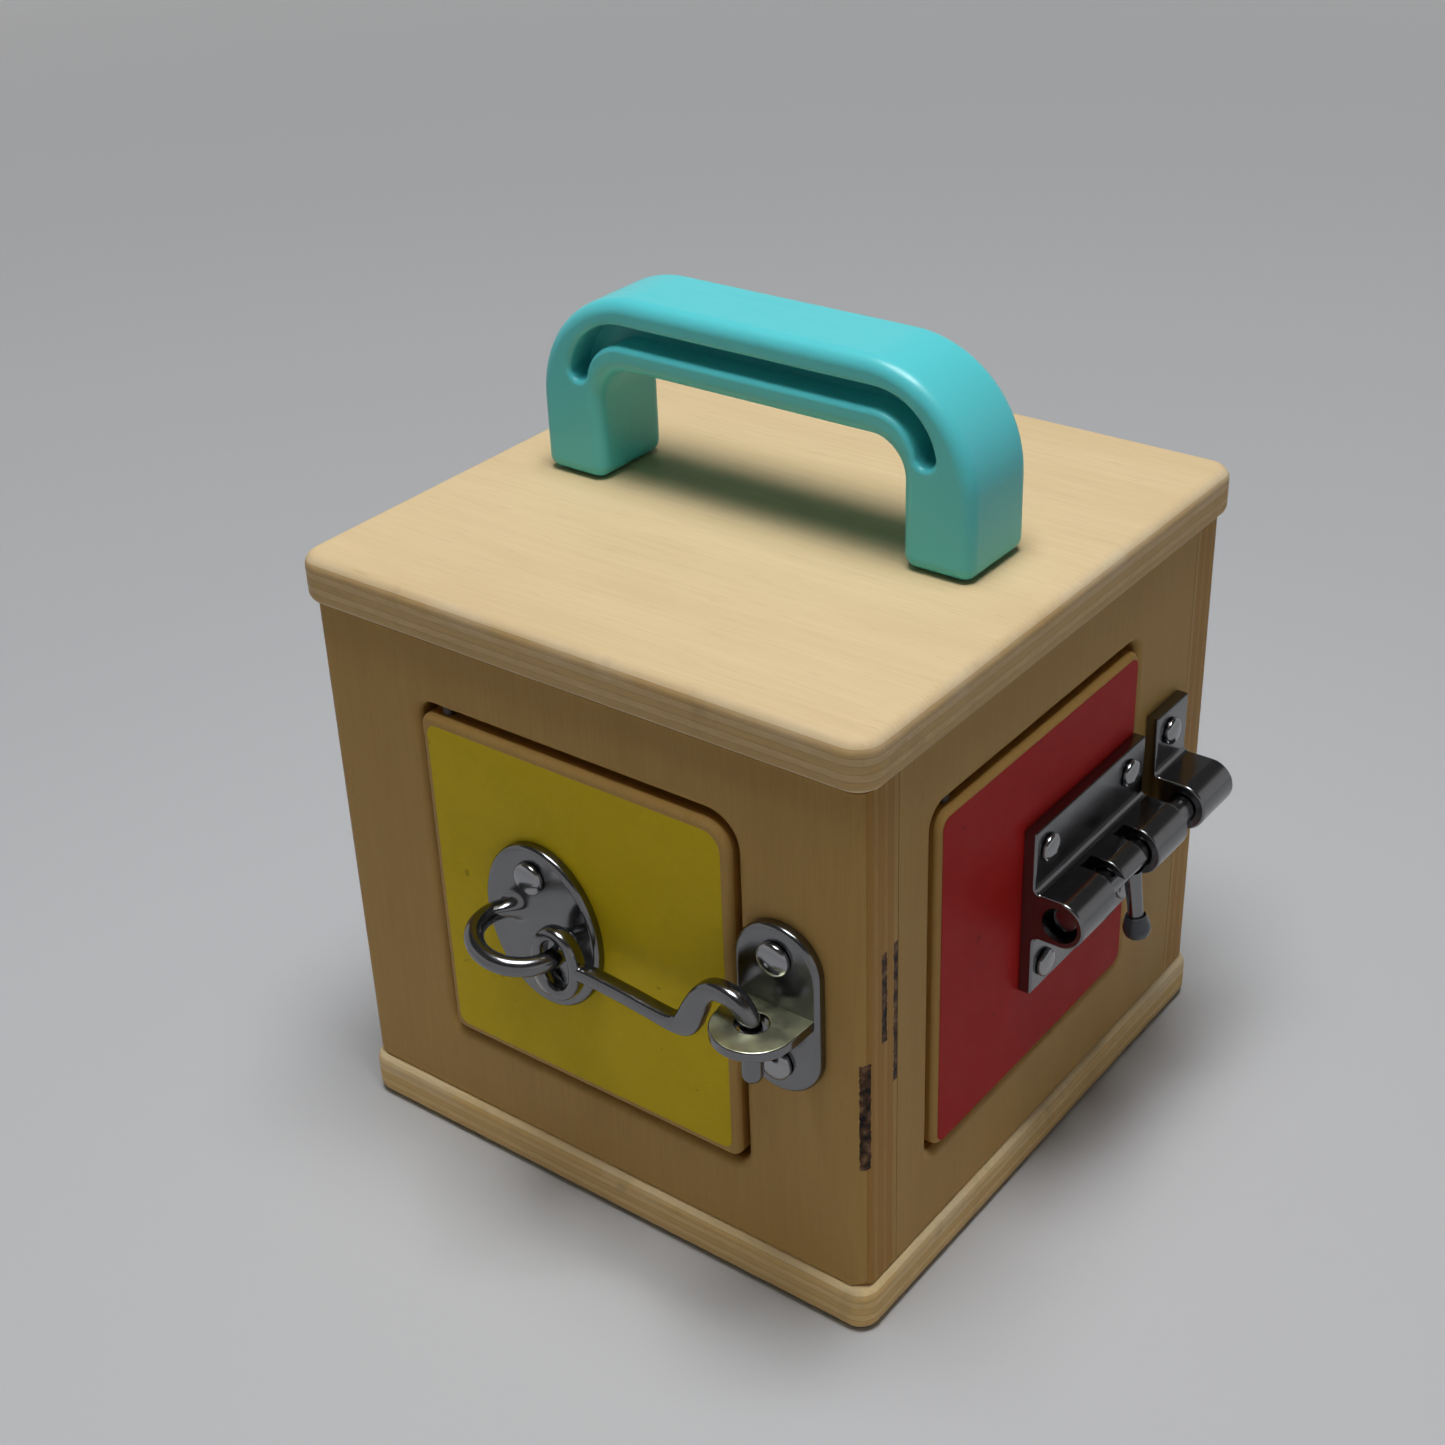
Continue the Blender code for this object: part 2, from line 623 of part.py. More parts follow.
faces = {}
hinges = {}
panels = {}
doors = {}
for side, (place, turn, half, (left, right)) in SIDES.items():
    face = frame(side + "_face", place, (QUARTER, 0, turn))
    faces[side] = face
    outer = rounded_rect(-half, half, PLY + FACE_GAP, BODY_TOP - FACE_GAP, [0] * 4, 1)
    outer = [outer[n] for n in (0, 2, 4, 6)]
    hole = rounded_rect(left, right, OPENING_BOTTOM, OPENING_TOP, CORNERS[side][0])
    mesh = flat(side + "_panel", [outer, hole], PLY, -PLY)
    inside = half - FACE_GAP

    def at_opening(co, inside=inside):
        within = abs(co.x) < inside and PLY + 2 * FACE_GAP < co.y < BODY_TOP - 2 * FACE_GAP
        return within and co.z > -FACE_GAP

    def at_outer_corner(co, inside=inside):
        return co.z > -FACE_GAP and abs(co.x) > inside

    round_edges(mesh, OPENING_EDGE_ROUND, at_opening)
    if half == HALF_WIDTH:
        shape = bmesh.new()
        shape.from_mesh(mesh)
        upright = [
            e for e in shape.edges
            if all(at_outer_corner(v.co) for v in e.verts)
            and abs(e.verts[0].co.x - e.verts[1].co.x) < FACE_GAP
        ]
        bmesh.ops.bevel(
            shape, geom=upright, offset=BODY_CORNER_ROUND, offset_type="OFFSET",
            segments=EDGE_STEPS + 1, profile=0.5, affect="EDGES",
        )
        shape.to_mesh(mesh)
        shape.free()
    panels[side] = add(side + "_panel", mesh, face, look=wood(side + "_birch"))

    # Door, hung on two hidden pins near its left edge
    door_left = left + DOOR_SIDE_GAP
    door_right = right - DOOR_SIDE_GAP
    door_bottom = OPENING_BOTTOM + DOOR_BOTTOM_GAP
    door_top = OPENING_TOP - DOOR_TOP_GAP
    pin_u = door_left + PIN_FROM_EDGE
    pin_w = DOOR_FACE - PIN_BEHIND_FACE
    hinge = frame(side + "_door_axis", (pin_u, 0, pin_w), (0, 0, 0), face)
    hinges[side] = hinge
    door_outline = rounded_rect(
        door_left - pin_u, door_right - pin_u, door_bottom, door_top, CORNERS[side][1]
    )
    door_mesh = flat(side + "_door", [door_outline], PLY, DOOR_FACE - pin_w - PLY)
    front_face = DOOR_FACE - pin_w - FACE_GAP
    round_edges(door_mesh, DOOR_EDGE_ROUND, lambda co, front_face=front_face: co.z > front_face)
    paint = material(side + "_paint", PAINTS[side], 0.35, 0.0)
    doors[side] = add(side + "_door", door_mesh, hinge, look=paint)

    spans = (
        ("lower", door_bottom + PIN_IN_DOOR - PIN_LENGTH, door_bottom + PIN_IN_DOOR),
        ("upper", door_top - PIN_IN_DOOR, door_top - PIN_IN_DOOR + PIN_LENGTH),
    )
    for level, low, high in spans:
        name = side + "_" + level + "_pin"
        pin = rod(name, PIN_RADIUS, low, high, SCREW_STEPS, "Y")
        add(name, pin, face, (pin_u, 0, pin_w), look=material(name + "_steel", STEEL, 0.35, 1.0))
        drill = rod(name + "_drill", PIN_RADIUS + PIN_GAP, low - PIN_GAP, high + PIN_GAP, SCREW_STEPS, "Y")
        drill = add(name + "_drill", drill, face, (pin_u, 0, pin_w), cutter=True)
        cut(panels[side], drill)
        cut(doors[side], drill)

# Carrying handle: a moulded arch with a blind slot along both faces
half_span = HANDLE_WIDTH / 2
outer_bend = half_span - HANDLE_OUTER_CORNER
outer_spring = HANDLE_HEIGHT - HANDLE_OUTER_CORNER
inner_half = half_span - HANDLE_LEG
inner_bend = inner_half - HANDLE_INNER_CORNER
inner_spring = HANDLE_HEIGHT - HANDLE_BAR - HANDLE_INNER_CORNER
arch_outline = (
    [(half_span, FACE_GAP)]
    + arc(outer_bend, outer_spring, HANDLE_OUTER_CORNER, 0, QUARTER, BIG_CORNER_STEPS)
    + arc(-outer_bend, outer_spring, HANDLE_OUTER_CORNER, QUARTER, 2 * QUARTER, BIG_CORNER_STEPS)
    + [(-half_span, FACE_GAP), (-inner_half, FACE_GAP)]
    + arc(-inner_bend, inner_spring, HANDLE_INNER_CORNER, 2 * QUARTER, QUARTER, CORNER_STEPS)
    + arc(inner_bend, inner_spring, HANDLE_INNER_CORNER, QUARTER, 0, CORNER_STEPS)
    + [(inner_half, FACE_GAP)]
)
handle_mesh = flat("handle", [arch_outline], HANDLE_THICKNESS, -HANDLE_THICKNESS / 2)
round_edges(handle_mesh, HANDLE_EDGE_ROUND, everywhere)
handle_frame = frame("handle_frame", (HANDLE_SHIFT, 0, HANDLE_BASE), (QUARTER, 0, 0))
handle = add("handle", handle_mesh, handle_frame, look=material("handle_plastic", TURQUOISE, 0.38, 0.0))

slot_centre = SLOT_LINE_HEIGHT - SLOT_LINE_BEND
slot_turn = math.asin((SLOT_LINE_END_HEIGHT - slot_centre) / SLOT_LINE_BEND)
bend_u = SLOT_LINE_HALF_SPAN - SLOT_LINE_BEND
slot_line = arc(-bend_u, slot_centre, SLOT_LINE_BEND, 2 * QUARTER - slot_turn, QUARTER, BIG_CORNER_STEPS)
slot_line += arc(bend_u, slot_centre, SLOT_LINE_BEND, QUARTER, slot_turn, BIG_CORNER_STEPS)


def slot_outline(half_width):
    """The slot's outline, round at both ends, at a given half width."""
    return ribbon(slot_line, [half_width] * len(slot_line), round_start=True)


for name, sign in (("front", 1), ("back", -1)):
    # Mouth rounded by a flare of rings, then straight down to the blind floor
    surface = HANDLE_THICKNESS / 2
    levels = [(SLOT_HALF_WIDTH, surface - SLOT_DEPTH)]
    for n in range(EDGE_STEPS + 1):
        angle = QUARTER * n / EDGE_STEPS
        flare = SLOT_LIP * (1 - math.cos(angle))
        levels.append((SLOT_HALF_WIDTH + flare, surface - SLOT_LIP + SLOT_LIP * math.sin(angle)))
    levels.append((SLOT_HALF_WIDTH + SLOT_LIP, surface + CUT_OVERRUN))
    rings = [[(u, v, level * sign) for u, v in slot_outline(half)] for half, level in levels]
    slot_mesh = loft("handle_slot_" + name, rings)
    cut(handle, add("handle_slot_" + name, slot_mesh, handle_frame, cutter=True))

# Two screws come up through the lid into the handle's legs
leg_u = half_span - HANDLE_SCREW_FROM_END
handle_places = [(-leg_u + HANDLE_SHIFT, 0), (leg_u + HANDLE_SHIFT, 0)]
clearance = SCREW_SHANK_RADIUS + PIN_GAP
drill_top = BODY_TOP - FACE_GAP + HANDLE_SCREW_LENGTH + PIN_GAP
handle_drill = rod(
    "handle_drill", clearance, BODY_TOP - CUT_OVERRUN, drill_top, SCREW_STEPS, "Z", handle_places
)
handle_drill = add("handle_drill", handle_drill, cutter=True)
cut(lid, handle_drill)
cut(handle, handle_drill)
for name, (u, v) in zip(("left", "right"), handle_places):
    screw(
        "handle_screw_" + name, None, u, v, BODY_TOP - 2 * FACE_GAP,
        length=HANDLE_SCREW_LENGTH, rotation=(2 * QUARTER, 0, 0),
    )

# Hook plate on the yellow door: an oval casting with a level ring standing out of it
face = faces["front"]
hinge = hinges["front"]
to_hinge = (-hinge.location.x, 0, -hinge.location.z)
on_front_door = frame("front_door_face", (to_hinge[0], 0, to_hinge[2] + DOOR_FACE), (0, 0, 0), hinge)


def oval(half_width, half_height, steps):
    return [(half_width * u, half_height * v) for u, v in circle(1, steps)]


plate_top = FACE_GAP + PLATE_THICKNESS
plate_outline = oval(HOOK_PLATE_HALF_WIDTH, HOOK_PLATE_HALF_HEIGHT, 2 * ROUND_STEPS)
plate_mesh = flat("hook_plate", [plate_outline], PLATE_THICKNESS, FACE_GAP)
round_edges(plate_mesh, PLATE_EDGE_ROUND, lambda co: co.z > plate_top - FACE_GAP / 2)
hook_plate = add(
    "hook_plate", plate_mesh, on_front_door, (HOOK_PLATE_U, DOOR_MIDDLE_V, 0), (0, 0, HOOK_PLATE_TILT),
    chrome("hook_plate_chrome"),
)
ring_centre_out = plate_top + math.sqrt(RING_RADIUS**2 - RING_HALF_CHORD**2)
ring_end = QUARTER * 2 - math.asin(RING_HALF_CHORD / RING_RADIUS)
ring_line = []
for n in range(RING_STEPS + 1):
    angle = -ring_end + 2 * ring_end * n / RING_STEPS
    ring_line.append((RING_RADIUS * math.sin(angle), 0, ring_centre_out + RING_RADIUS * math.cos(angle)))
root = RING_WIRE_RADIUS * RING_ROOT_SHARE
ring_radii = [root] * 2 + [RING_WIRE_RADIUS] * (RING_STEPS - 1) + [root] * 2
first, last = ring_line[0], ring_line[-1]
ring_line = [(first[0], 0, first[2] - 2 * JOIN_DEPTH), *ring_line, (last[0], 0, last[2] - 2 * JOIN_DEPTH)]
ring = add(
    "hook_ring_shape", wire("hook_ring_shape", ring_line, ring_radii), on_front_door,
    (HOOK_PLATE_U, RING_V, 0), (0, 0, RING_TILT), cutter=True,
)
join(hook_plate, ring)
reach_u = -HOOK_PLATE_SCREW_REACH * math.sin(HOOK_PLATE_TILT)
reach_v = HOOK_PLATE_SCREW_REACH * math.cos(HOOK_PLATE_TILT)
hook_places = [
    (HOOK_PLATE_U + reach_u, DOOR_MIDDLE_V + reach_v),
    (HOOK_PLATE_U - reach_u, DOOR_MIDDLE_V - reach_v),
]
holes = screw_holes(
    "hook_plate_holes", on_front_door, hook_places, plate_top + CUT_OVERRUN, plate_top - SCREW_LENGTH - PIN_GAP
)
cut(hook_plate, holes)
cut(doors["front"], holes)
for name, (u, v) in zip(("upper", "lower"), hook_places):
    screw("hook_plate_screw_" + name, on_front_door, u, v, plate_top)

# Hook: a bar with an oval eye round the ring's wire, a raised crook and a round tip
hook_axis = frame(
    "hook_axis", (HOOK_PIVOT_U, HOOK_PIVOT_V, HOOK_OUT - DOOR_FACE), (0, 0, 0), on_front_door
)

# Along the hook: share of its length, share of the crook's rise, half width, thickness and squareness
hook_shares = [
    (0.125, -0.140, 0.53, 1.0, 4.0), (0.192, -0.120, 0.58, 1.0, 4.0), (0.374, -0.190, 0.60, 1.0, 4.0),
    (0.527, -0.280, 0.62, 1.0, 4.0), (0.625, -0.310, 0.73, 1.0, 4.0), (0.684, -0.160, 1.00, 1.0, 4.0),
    (0.724, 0.260, 0.97, 1.0, 4.0), (0.764, 0.660, 0.83, 1.02, 3.6), (0.812, 0.930, 0.75, 1.05, 3.2),
    (0.870, 1.000, 0.73, 1.1, 2.8), (0.934, 0.918, 0.75, 1.15, 2.4), (0.983, 0.640, 0.77, 1.2, 2.0),
    (1.000, 0.290, 0.80, 1.2, 2.0), (1.000, -0.210, 0.80, 1.2, 2.0), (0.998, -0.740, 0.80, 1.2, 2.0),
]
stations = [
    (HOOK_LENGTH * along, HOOK_RISE * up, HOOK_WIDEST * wide, HOOK_HALF_THICKNESS * thick, square)
    for along, up, wide, thick, square in hook_shares
]
line = smooth_line(stations, 2)
rings = []
for n, (u, v, wide, thick, square) in enumerate(line):
    ahead = line[min(n + 1, len(line) - 1)][:2] - line[max(n - 1, 0)][:2]
    across = np.array((-ahead[1], ahead[0])) / np.hypot(*ahead)
    rings.append(bar_ring((u, v), across, wide, thick, square))
for n in range(1, EDGE_STEPS + 1):
    angle = QUARTER * n / (EDGE_STEPS + 0.5)
    shrink = math.cos(angle)
    end = line[-1][:2] + ahead / np.hypot(*ahead) * HOOK_TIP_RADIUS * math.sin(angle)
    rings.append(bar_ring(end, across, HOOK_TIP_RADIUS * shrink, HOOK_TIP_RADIUS * shrink, 2))
hook = add("hook", loft("hook", rings), hook_axis, look=chrome("hook_chrome"))
eye_rings = []
for u, v in circle(1, ROUND_STEPS):
    across = np.array((u * HOOK_EYE_HALF_HEIGHT, v * HOOK_EYE_HALF_WIDTH))
    place = (HOOK_EYE_HALF_WIDTH * u, HOOK_EYE_HALF_HEIGHT * v)
    eye_rings.append(
        bar_ring(place, across / np.hypot(*across), HOOK_EYE_HALF_WALL, HOOK_HALF_THICKNESS, 3)
    )
eye_ring = add(
    "hook_eye_shape", loft("hook_eye_shape", eye_rings, closed=True), hook_axis,
    (HOOK_EYE_SHIFT_U, HOOK_EYE_SHIFT_V, 0), cutter=True,
)
join(hook, eye_ring)

# Eye plate on the frame beside the yellow door: an upright casting with a level shelf and a hole
eye_mesh = flat("eye_plate", [stadium(EYE_PLATE_WIDTH / 2, EYE_PLATE_HEIGHT / 2)], PLATE_THICKNESS, FACE_GAP)
round_edges(eye_mesh, PLATE_EDGE_ROUND, lambda co: co.z > plate_top - FACE_GAP / 2)
eye_plate = add("eye_plate", eye_mesh, face, (EYE_PLATE_U, EYE_PLATE_V, 0), look=chrome("eye_plate_chrome"))
shelf_half = SHELF_WIDTH / 2
shelf_outline = arc(0, -SHELF_REACH + shelf_half, shelf_half, 2 * QUARTER, 4 * QUARTER, BIG_CORNER_STEPS + 4)
shelf_outline = shelf_outline + [(shelf_half, -plate_top + JOIN_DEPTH), (-shelf_half, -plate_top + JOIN_DEPTH)]
shelf_hole = circle(SHELF_HOLE_RADIUS, ROUND_STEPS, SHELF_HOLE_SHIFT, -SHELF_HOLE_OUT)
shelf_mesh = flat("shelf_shape", [shelf_outline, shelf_hole], SHELF_THICKNESS, -SHELF_THICKNESS)
round_edges(shelf_mesh, SHELF_EDGE_ROUND, lambda co: co.y < -plate_top, 2)
shelf = add("shelf_shape", shelf_mesh, face, (EYE_PLATE_U, SHELF_TOP, 0), (-QUARTER, 0, 0), cutter=True)
join(eye_plate, shelf)
eye_places = [(EYE_PLATE_U, EYE_PLATE_V + reach) for reach in (EYE_PLATE_SCREW_REACH, -EYE_PLATE_SCREW_REACH)]
holes = screw_holes(
    "eye_plate_holes", face, eye_places, plate_top + FACE_GAP * 2, plate_top - SCREW_LENGTH - PIN_GAP
)
cut(eye_plate, holes)
cut(panels["front"], holes)
for name, (u, v) in zip(("upper", "lower"), eye_places):
    screw("eye_plate_screw_" + name, face, u, v, plate_top)

# Barrel bolt on the red door: a plate and barrel in one casting, bored for the rod
face = faces["right"]
hinge = hinges["right"]
on_right_door = frame("right_door_face", (-hinge.location.x, 0, -hinge.location.z), (0, 0, 0), hinge)


def bolt_profile(back):
    """Cross-section of plate and barrel: first number out of the wood, second up from the barrel's middle."""
    half = BOLT_PLATE_HEIGHT / 2
    front = back + BOLT_PLATE_THICKNESS
    fillet_out = front + BOLT_FILLET
    fillet_up = BARREL_RADIUS + BOLT_FILLET
    return (
        [(back, -half), (front, -half)]
        + arc(fillet_out, -fillet_up, BOLT_FILLET, 2 * QUARTER, QUARTER, EDGE_STEPS)
        + arc(BARREL_OUT, 0, BARREL_RADIUS, -QUARTER, QUARTER, BIG_CORNER_STEPS + 2)
        + arc(fillet_out, fillet_up, BOLT_FILLET, 3 * QUARTER, 2 * QUARTER, EDGE_STEPS)
        + [(front, half), (back, half)]
    )


def along_u(name, outline, start, end):
    """A cross-section in the w-v plane run along u."""
    return loft(name, [[(u, v, w) for w, v in outline] for u in (start, end)])


bolt_back = DOOR_FACE + FACE_GAP
bolt_mesh = along_u("bolt_plate", bolt_profile(bolt_back), BOLT_PLATE_START, BOLT_PLATE_END)
round_edges(bolt_mesh, BOLT_EDGE_ROUND, lambda co: co.z > bolt_back + FACE_GAP, 2)
bolt_plate = add(
    "bolt_plate", bolt_mesh, on_right_door, (BOLT_U, BOLT_V, 0), look=chrome("bolt_plate_chrome")
)
barrel_axis = [(0, BARREL_OUT)]
before_plate = BOLT_PLATE_START - CUT_OVERRUN
past_barrel = BARREL_OUT + BARREL_RADIUS + CUT_OVERRUN
above_barrel = BARREL_RADIUS + CUT_OVERRUN
bolt_cuts = (
    rod(
        "bolt_bore", BARREL_BORE_RADIUS, before_plate, BOLT_PLATE_END + CUT_OVERRUN,
        ROUND_STEPS, "X", barrel_axis,
    ),
    rod(
        "bolt_mouth", BARREL_MOUTH_RADIUS, before_plate, BOLT_PLATE_START + BARREL_MOUTH_DEPTH,
        ROUND_STEPS, "X", barrel_axis,
    ),
    block(
        "bolt_window", (BOLT_WINDOW_START, -above_barrel, BOLT_WINDOW_BACK),
        (BOLT_WINDOW_END, BOLT_BRIDGE_UNDERSIDE, past_barrel),
    ),
    block(
        "bolt_notch_open", (BOLT_WINDOW_START, 0, BOLT_WINDOW_BACK),
        (BOLT_WINDOW_START + BOLT_NOTCH, above_barrel, past_barrel),
    ),
    block(
        "bolt_notch_shut", (BOLT_WINDOW_END - BOLT_NOTCH, 0, BOLT_WINDOW_BACK),
        (BOLT_WINDOW_END, above_barrel, past_barrel),
    ),
)
for mesh in bolt_cuts:
    cut(bolt_plate, add(mesh.name, mesh, on_right_door, (BOLT_U, BOLT_V, 0), cutter=True))
bolt_places = [
    (BOLT_U + u, BOLT_V + v)
    for v in (BOLT_SCREW_REACH_V, -BOLT_SCREW_REACH_V)
    for u in (BOLT_SCREW_START_U, BOLT_SCREW_END_U)
]
bolt_face = bolt_back + BOLT_PLATE_THICKNESS
holes = screw_holes(
    "bolt_plate_holes", on_right_door, bolt_places, bolt_face + CUT_OVERRUN, bolt_face - SCREW_LENGTH - PIN_GAP
)
cut(bolt_plate, holes)
cut(doors["right"], holes)
for name, (u, v) in zip(("upper_near", "upper_far", "lower_near", "lower_far"), bolt_places):
    screw("bolt_screw_" + name, on_right_door, u, v, bolt_face, wide=False)

# Sliding rod and its knob
bolt_slide = frame("bolt_slide_axis", (BOLT_U, BOLT_V, BARREL_OUT), (0, 0, 0), on_right_door)
rod_mesh = rod("bolt_rod", BOLT_ROD_RADIUS, BOLT_ROD_START, BOLT_ROD_END, ROUND_STEPS, "X")
round_edges(rod_mesh, BOLT_ROD_CHAMFER, everywhere, 2)
bolt_rod = add("bolt_rod", rod_mesh, bolt_slide, look=chrome("bolt_rod_chrome"))
knob_axis = frame("bolt_knob_axis", (KNOB_U, 0, 0), (-KNOB_LEAN, 0, 0), bolt_slide)
knob_widest = KNOB_TIP_START + (KNOB_TIP_END - KNOB_TIP_START) * KNOB_TIP_WIDEST_SHARE
knob_profile = [
    (0, KNOB_TIP_END), (KNOB_TIP_WIDE * KNOB_TIP_END_SHARE, KNOB_TIP_END), (KNOB_TIP_WIDE, knob_widest),
    (KNOB_TIP_NARROW, KNOB_TIP_START), (KNOB_PIN_RADIUS, KNOB_TIP_START - BOLT_ROD_CHAMFER / 2),
    (KNOB_PIN_RADIUS, BOLT_ROD_RADIUS + PIN_GAP), (0, BOLT_ROD_RADIUS + PIN_GAP),
]
knob_mesh = turned("bolt_knob", knob_profile, SCREW_STEPS)
knob = add("bolt_knob", knob_mesh, knob_axis, (0, 0, 0), (QUARTER, 0, 0), chrome("bolt_knob_chrome"))

# Keeper on the frame, with the same section as the bolt
keeper_mesh = along_u("bolt_keeper", bolt_profile(FACE_GAP), KEEPER_START, KEEPER_END)
round_edges(keeper_mesh, BOLT_EDGE_ROUND, lambda co: co.z > FACE_GAP * 2, 2)
keeper = add("bolt_keeper", keeper_mesh, face, (BOLT_U, BOLT_V, 0), look=chrome("bolt_keeper_chrome"))
keeper_bore = rod(
    "keeper_bore", BARREL_BORE_RADIUS, KEEPER_START - CUT_OVERRUN, KEEPER_END + CUT_OVERRUN,
    ROUND_STEPS, "X", barrel_axis,
)
cut(keeper, add("keeper_bore", keeper_bore, face, (BOLT_U, BOLT_V, 0), cutter=True))
keeper_places = [
    (BOLT_U + KEEPER_SCREW_U, BOLT_V + reach) for reach in (BOLT_SCREW_REACH_V, -BOLT_SCREW_REACH_V)
]
keeper_face = FACE_GAP + BOLT_PLATE_THICKNESS
holes = screw_holes(
    "keeper_holes", face, keeper_places, keeper_face + CUT_OVERRUN, keeper_face - SCREW_LENGTH - PIN_GAP
)
cut(keeper, holes)
cut(panels["right"], holes)
for name, (u, v) in zip(("upper", "lower"), keeper_places):
    screw("keeper_screw_" + name, face, u, v, keeper_face, wide=False)

# Hasp on the green door: a leaf screwed to the door, a strap on a pin, and a slot over the staple
face = faces["back"]
hinge = hinges["back"]
on_back_door = frame("back_door_face", (-hinge.location.x, 0, -hinge.location.z), (0, 0, 0), hinge)
leaf_back = DOOR_FACE + FACE_GAP
leaf_outline = rounded_rect(
    HASP_LEAF_START, HASP_PIN_U, -HASP_HEIGHT / 2, HASP_HEIGHT / 2, [HASP_CORNER, 0, 0, HASP_CORNER]
)
leaf_outline = list(dict.fromkeys(leaf_outline))
leaf_mesh = flat("hasp_leaf", [leaf_outline], HASP_SHEET, leaf_back)
hasp_leaf = add("hasp_leaf", leaf_mesh, on_back_door, (HASP_U, DOOR_MIDDLE_V, 0), look=chrome("hasp_leaf_chrome"))
knuckle_half = HASP_HEIGHT * HASP_KNUCKLE_SHARE / 2
hasp_half = HASP_HEIGHT / 2
hasp_axis = [(HASP_PIN_U, HASP_PIN_OUT)]
leaf_knuckles = rod(
    "leaf_knuckle_shape", HASP_KNUCKLE_RADIUS, -hasp_half, hasp_half, ROUND_STEPS, "Y", hasp_axis
)
leaf_knuckles = add("leaf_knuckle_shape", leaf_knuckles, on_back_door, (HASP_U, DOOR_MIDDLE_V, 0), cutter=True)
join(hasp_leaf, leaf_knuckles)
room_reach = HASP_KNUCKLE_RADIUS + CUT_OVERRUN
strap_room = block(
    "strap_room", (HASP_PIN_U - HASP_KNUCKLE_RADIUS - PIN_GAP * 2, -knuckle_half - PIN_GAP, -FACE_GAP),
    (HASP_PIN_U + room_reach, knuckle_half + PIN_GAP, HASP_PIN_OUT + room_reach),
)
cut(hasp_leaf, add("strap_room", strap_room, on_back_door, (HASP_U, DOOR_MIDDLE_V, 0), cutter=True))
pin_drill = rod(
    "hasp_pin_drill", HASP_PIN_RADIUS + PIN_GAP, -hasp_half - CUT_OVERRUN, hasp_half + CUT_OVERRUN,
    SCREW_STEPS, "Y", hasp_axis,
)
pin_drill = add("hasp_pin_drill", pin_drill, on_back_door, (HASP_U, DOOR_MIDDLE_V, 0), cutter=True)
cut(hasp_leaf, pin_drill)
hasp_pin = rod("hasp_pin", HASP_PIN_RADIUS, -hasp_half, hasp_half, SCREW_STEPS, "Y", hasp_axis)
add("hasp_pin", hasp_pin, on_back_door, (HASP_U, DOOR_MIDDLE_V, 0), look=material("hasp_pin_steel", STEEL, 0.35, 1.0))
hasp_places = [
    (HASP_U + HASP_SCREW_U, DOOR_MIDDLE_V + reach) for reach in (HASP_SCREW_REACH, -HASP_SCREW_REACH)
]
leaf_top = leaf_back + HASP_SHEET
holes = screw_holes(
    "hasp_leaf_holes", on_back_door, hasp_places, leaf_top + CUT_OVERRUN, leaf_top - SCREW_LENGTH - PIN_GAP
)
cut(hasp_leaf, holes)
cut(doors["back"], holes)
for name, (u, v) in zip(("upper", "lower"), hasp_places):
    screw("hasp_screw_" + name, on_back_door, u, v, leaf_top, wide=False)

strap_axis = frame(
    "hasp_strap_axis", (HASP_U + HASP_PIN_U, DOOR_MIDDLE_V, HASP_PIN_OUT), (0, 0, 0), on_back_door
)
strap_reach = HASP_STRAP_END - HASP_PIN_U
strap_low = -HASP_KNUCKLE_RADIUS + FACE_GAP
strap_outline = rounded_rect(
    HASP_KNUCKLE_RADIUS / 2, strap_reach, -HASP_STRAP_HEIGHT / 2, HASP_STRAP_HEIGHT / 2,
    [HASP_CORNER, HASP_CORNER * 2, HASP_CORNER * 2, HASP_CORNER],
)
slot_u = HASP_SLOT_U - HASP_PIN_U
slot_half = HASP_SLOT_LENGTH / 2
strap_slot = [(slot_u + u, v) for u, v in stadium(HASP_SLOT_WIDTH / 2, slot_half, CORNER_STEPS)]
strap_mesh = flat("hasp_strap", [strap_outline, strap_slot], HASP_SHEET, strap_low)
hasp_strap = add("hasp_strap", strap_mesh, strap_axis, look=chrome("hasp_strap_chrome"))
beside_knuckle = {
    "strap_clear_upper": (knuckle_half, HASP_HEIGHT),
    "strap_clear_lower": (-HASP_HEIGHT, -knuckle_half),
}
for name, (low, high) in beside_knuckle.items():
    room = block(name, (0, low, strap_low - CUT_OVERRUN), (HASP_KNUCKLE_RADIUS + PIN_GAP, high, CUT_OVERRUN))
    cut(hasp_strap, add(name, room, strap_axis, cutter=True))
strap_knuckle = rod("strap_knuckle_shape", HASP_KNUCKLE_RADIUS, -knuckle_half, knuckle_half, ROUND_STEPS, "Y")
join(hasp_strap, add("strap_knuckle_shape", strap_knuckle, strap_axis, cutter=True))
strap_drill = rod("strap_pin_drill", HASP_PIN_RADIUS + PIN_GAP, -HASP_HEIGHT, HASP_HEIGHT, SCREW_STEPS, "Y")
cut(hasp_strap, add("strap_pin_drill", strap_drill, strap_axis, cutter=True))

# Turning staple on the frame, its plate screwed on and its head through the strap's slot
staple_outline = stadium(STAPLE_PLATE_WIDTH / 2, STAPLE_PLATE_HEIGHT / 2, CORNER_STEPS)
staple_plate_mesh = flat(
    "staple_plate", [staple_outline, circle(STAPLE_STEM_RADIUS + PIN_GAP, SCREW_STEPS)], HASP_SHEET, FACE_GAP
)
staple_plate = add(
    "staple_plate", staple_plate_mesh, face, (HASP_U + HASP_SLOT_U, DOOR_MIDDLE_V, 0),
    look=chrome("staple_plate_chrome"),
)
staple_top = FACE_GAP + HASP_SHEET
stem_top = staple_top + CUT_OVERRUN
stem_end = -HASP_SHEET * 3
stem_profile = [(0, stem_top), (STAPLE_STEM_RADIUS, stem_top), (STAPLE_STEM_RADIUS, stem_end), (0, stem_end)]
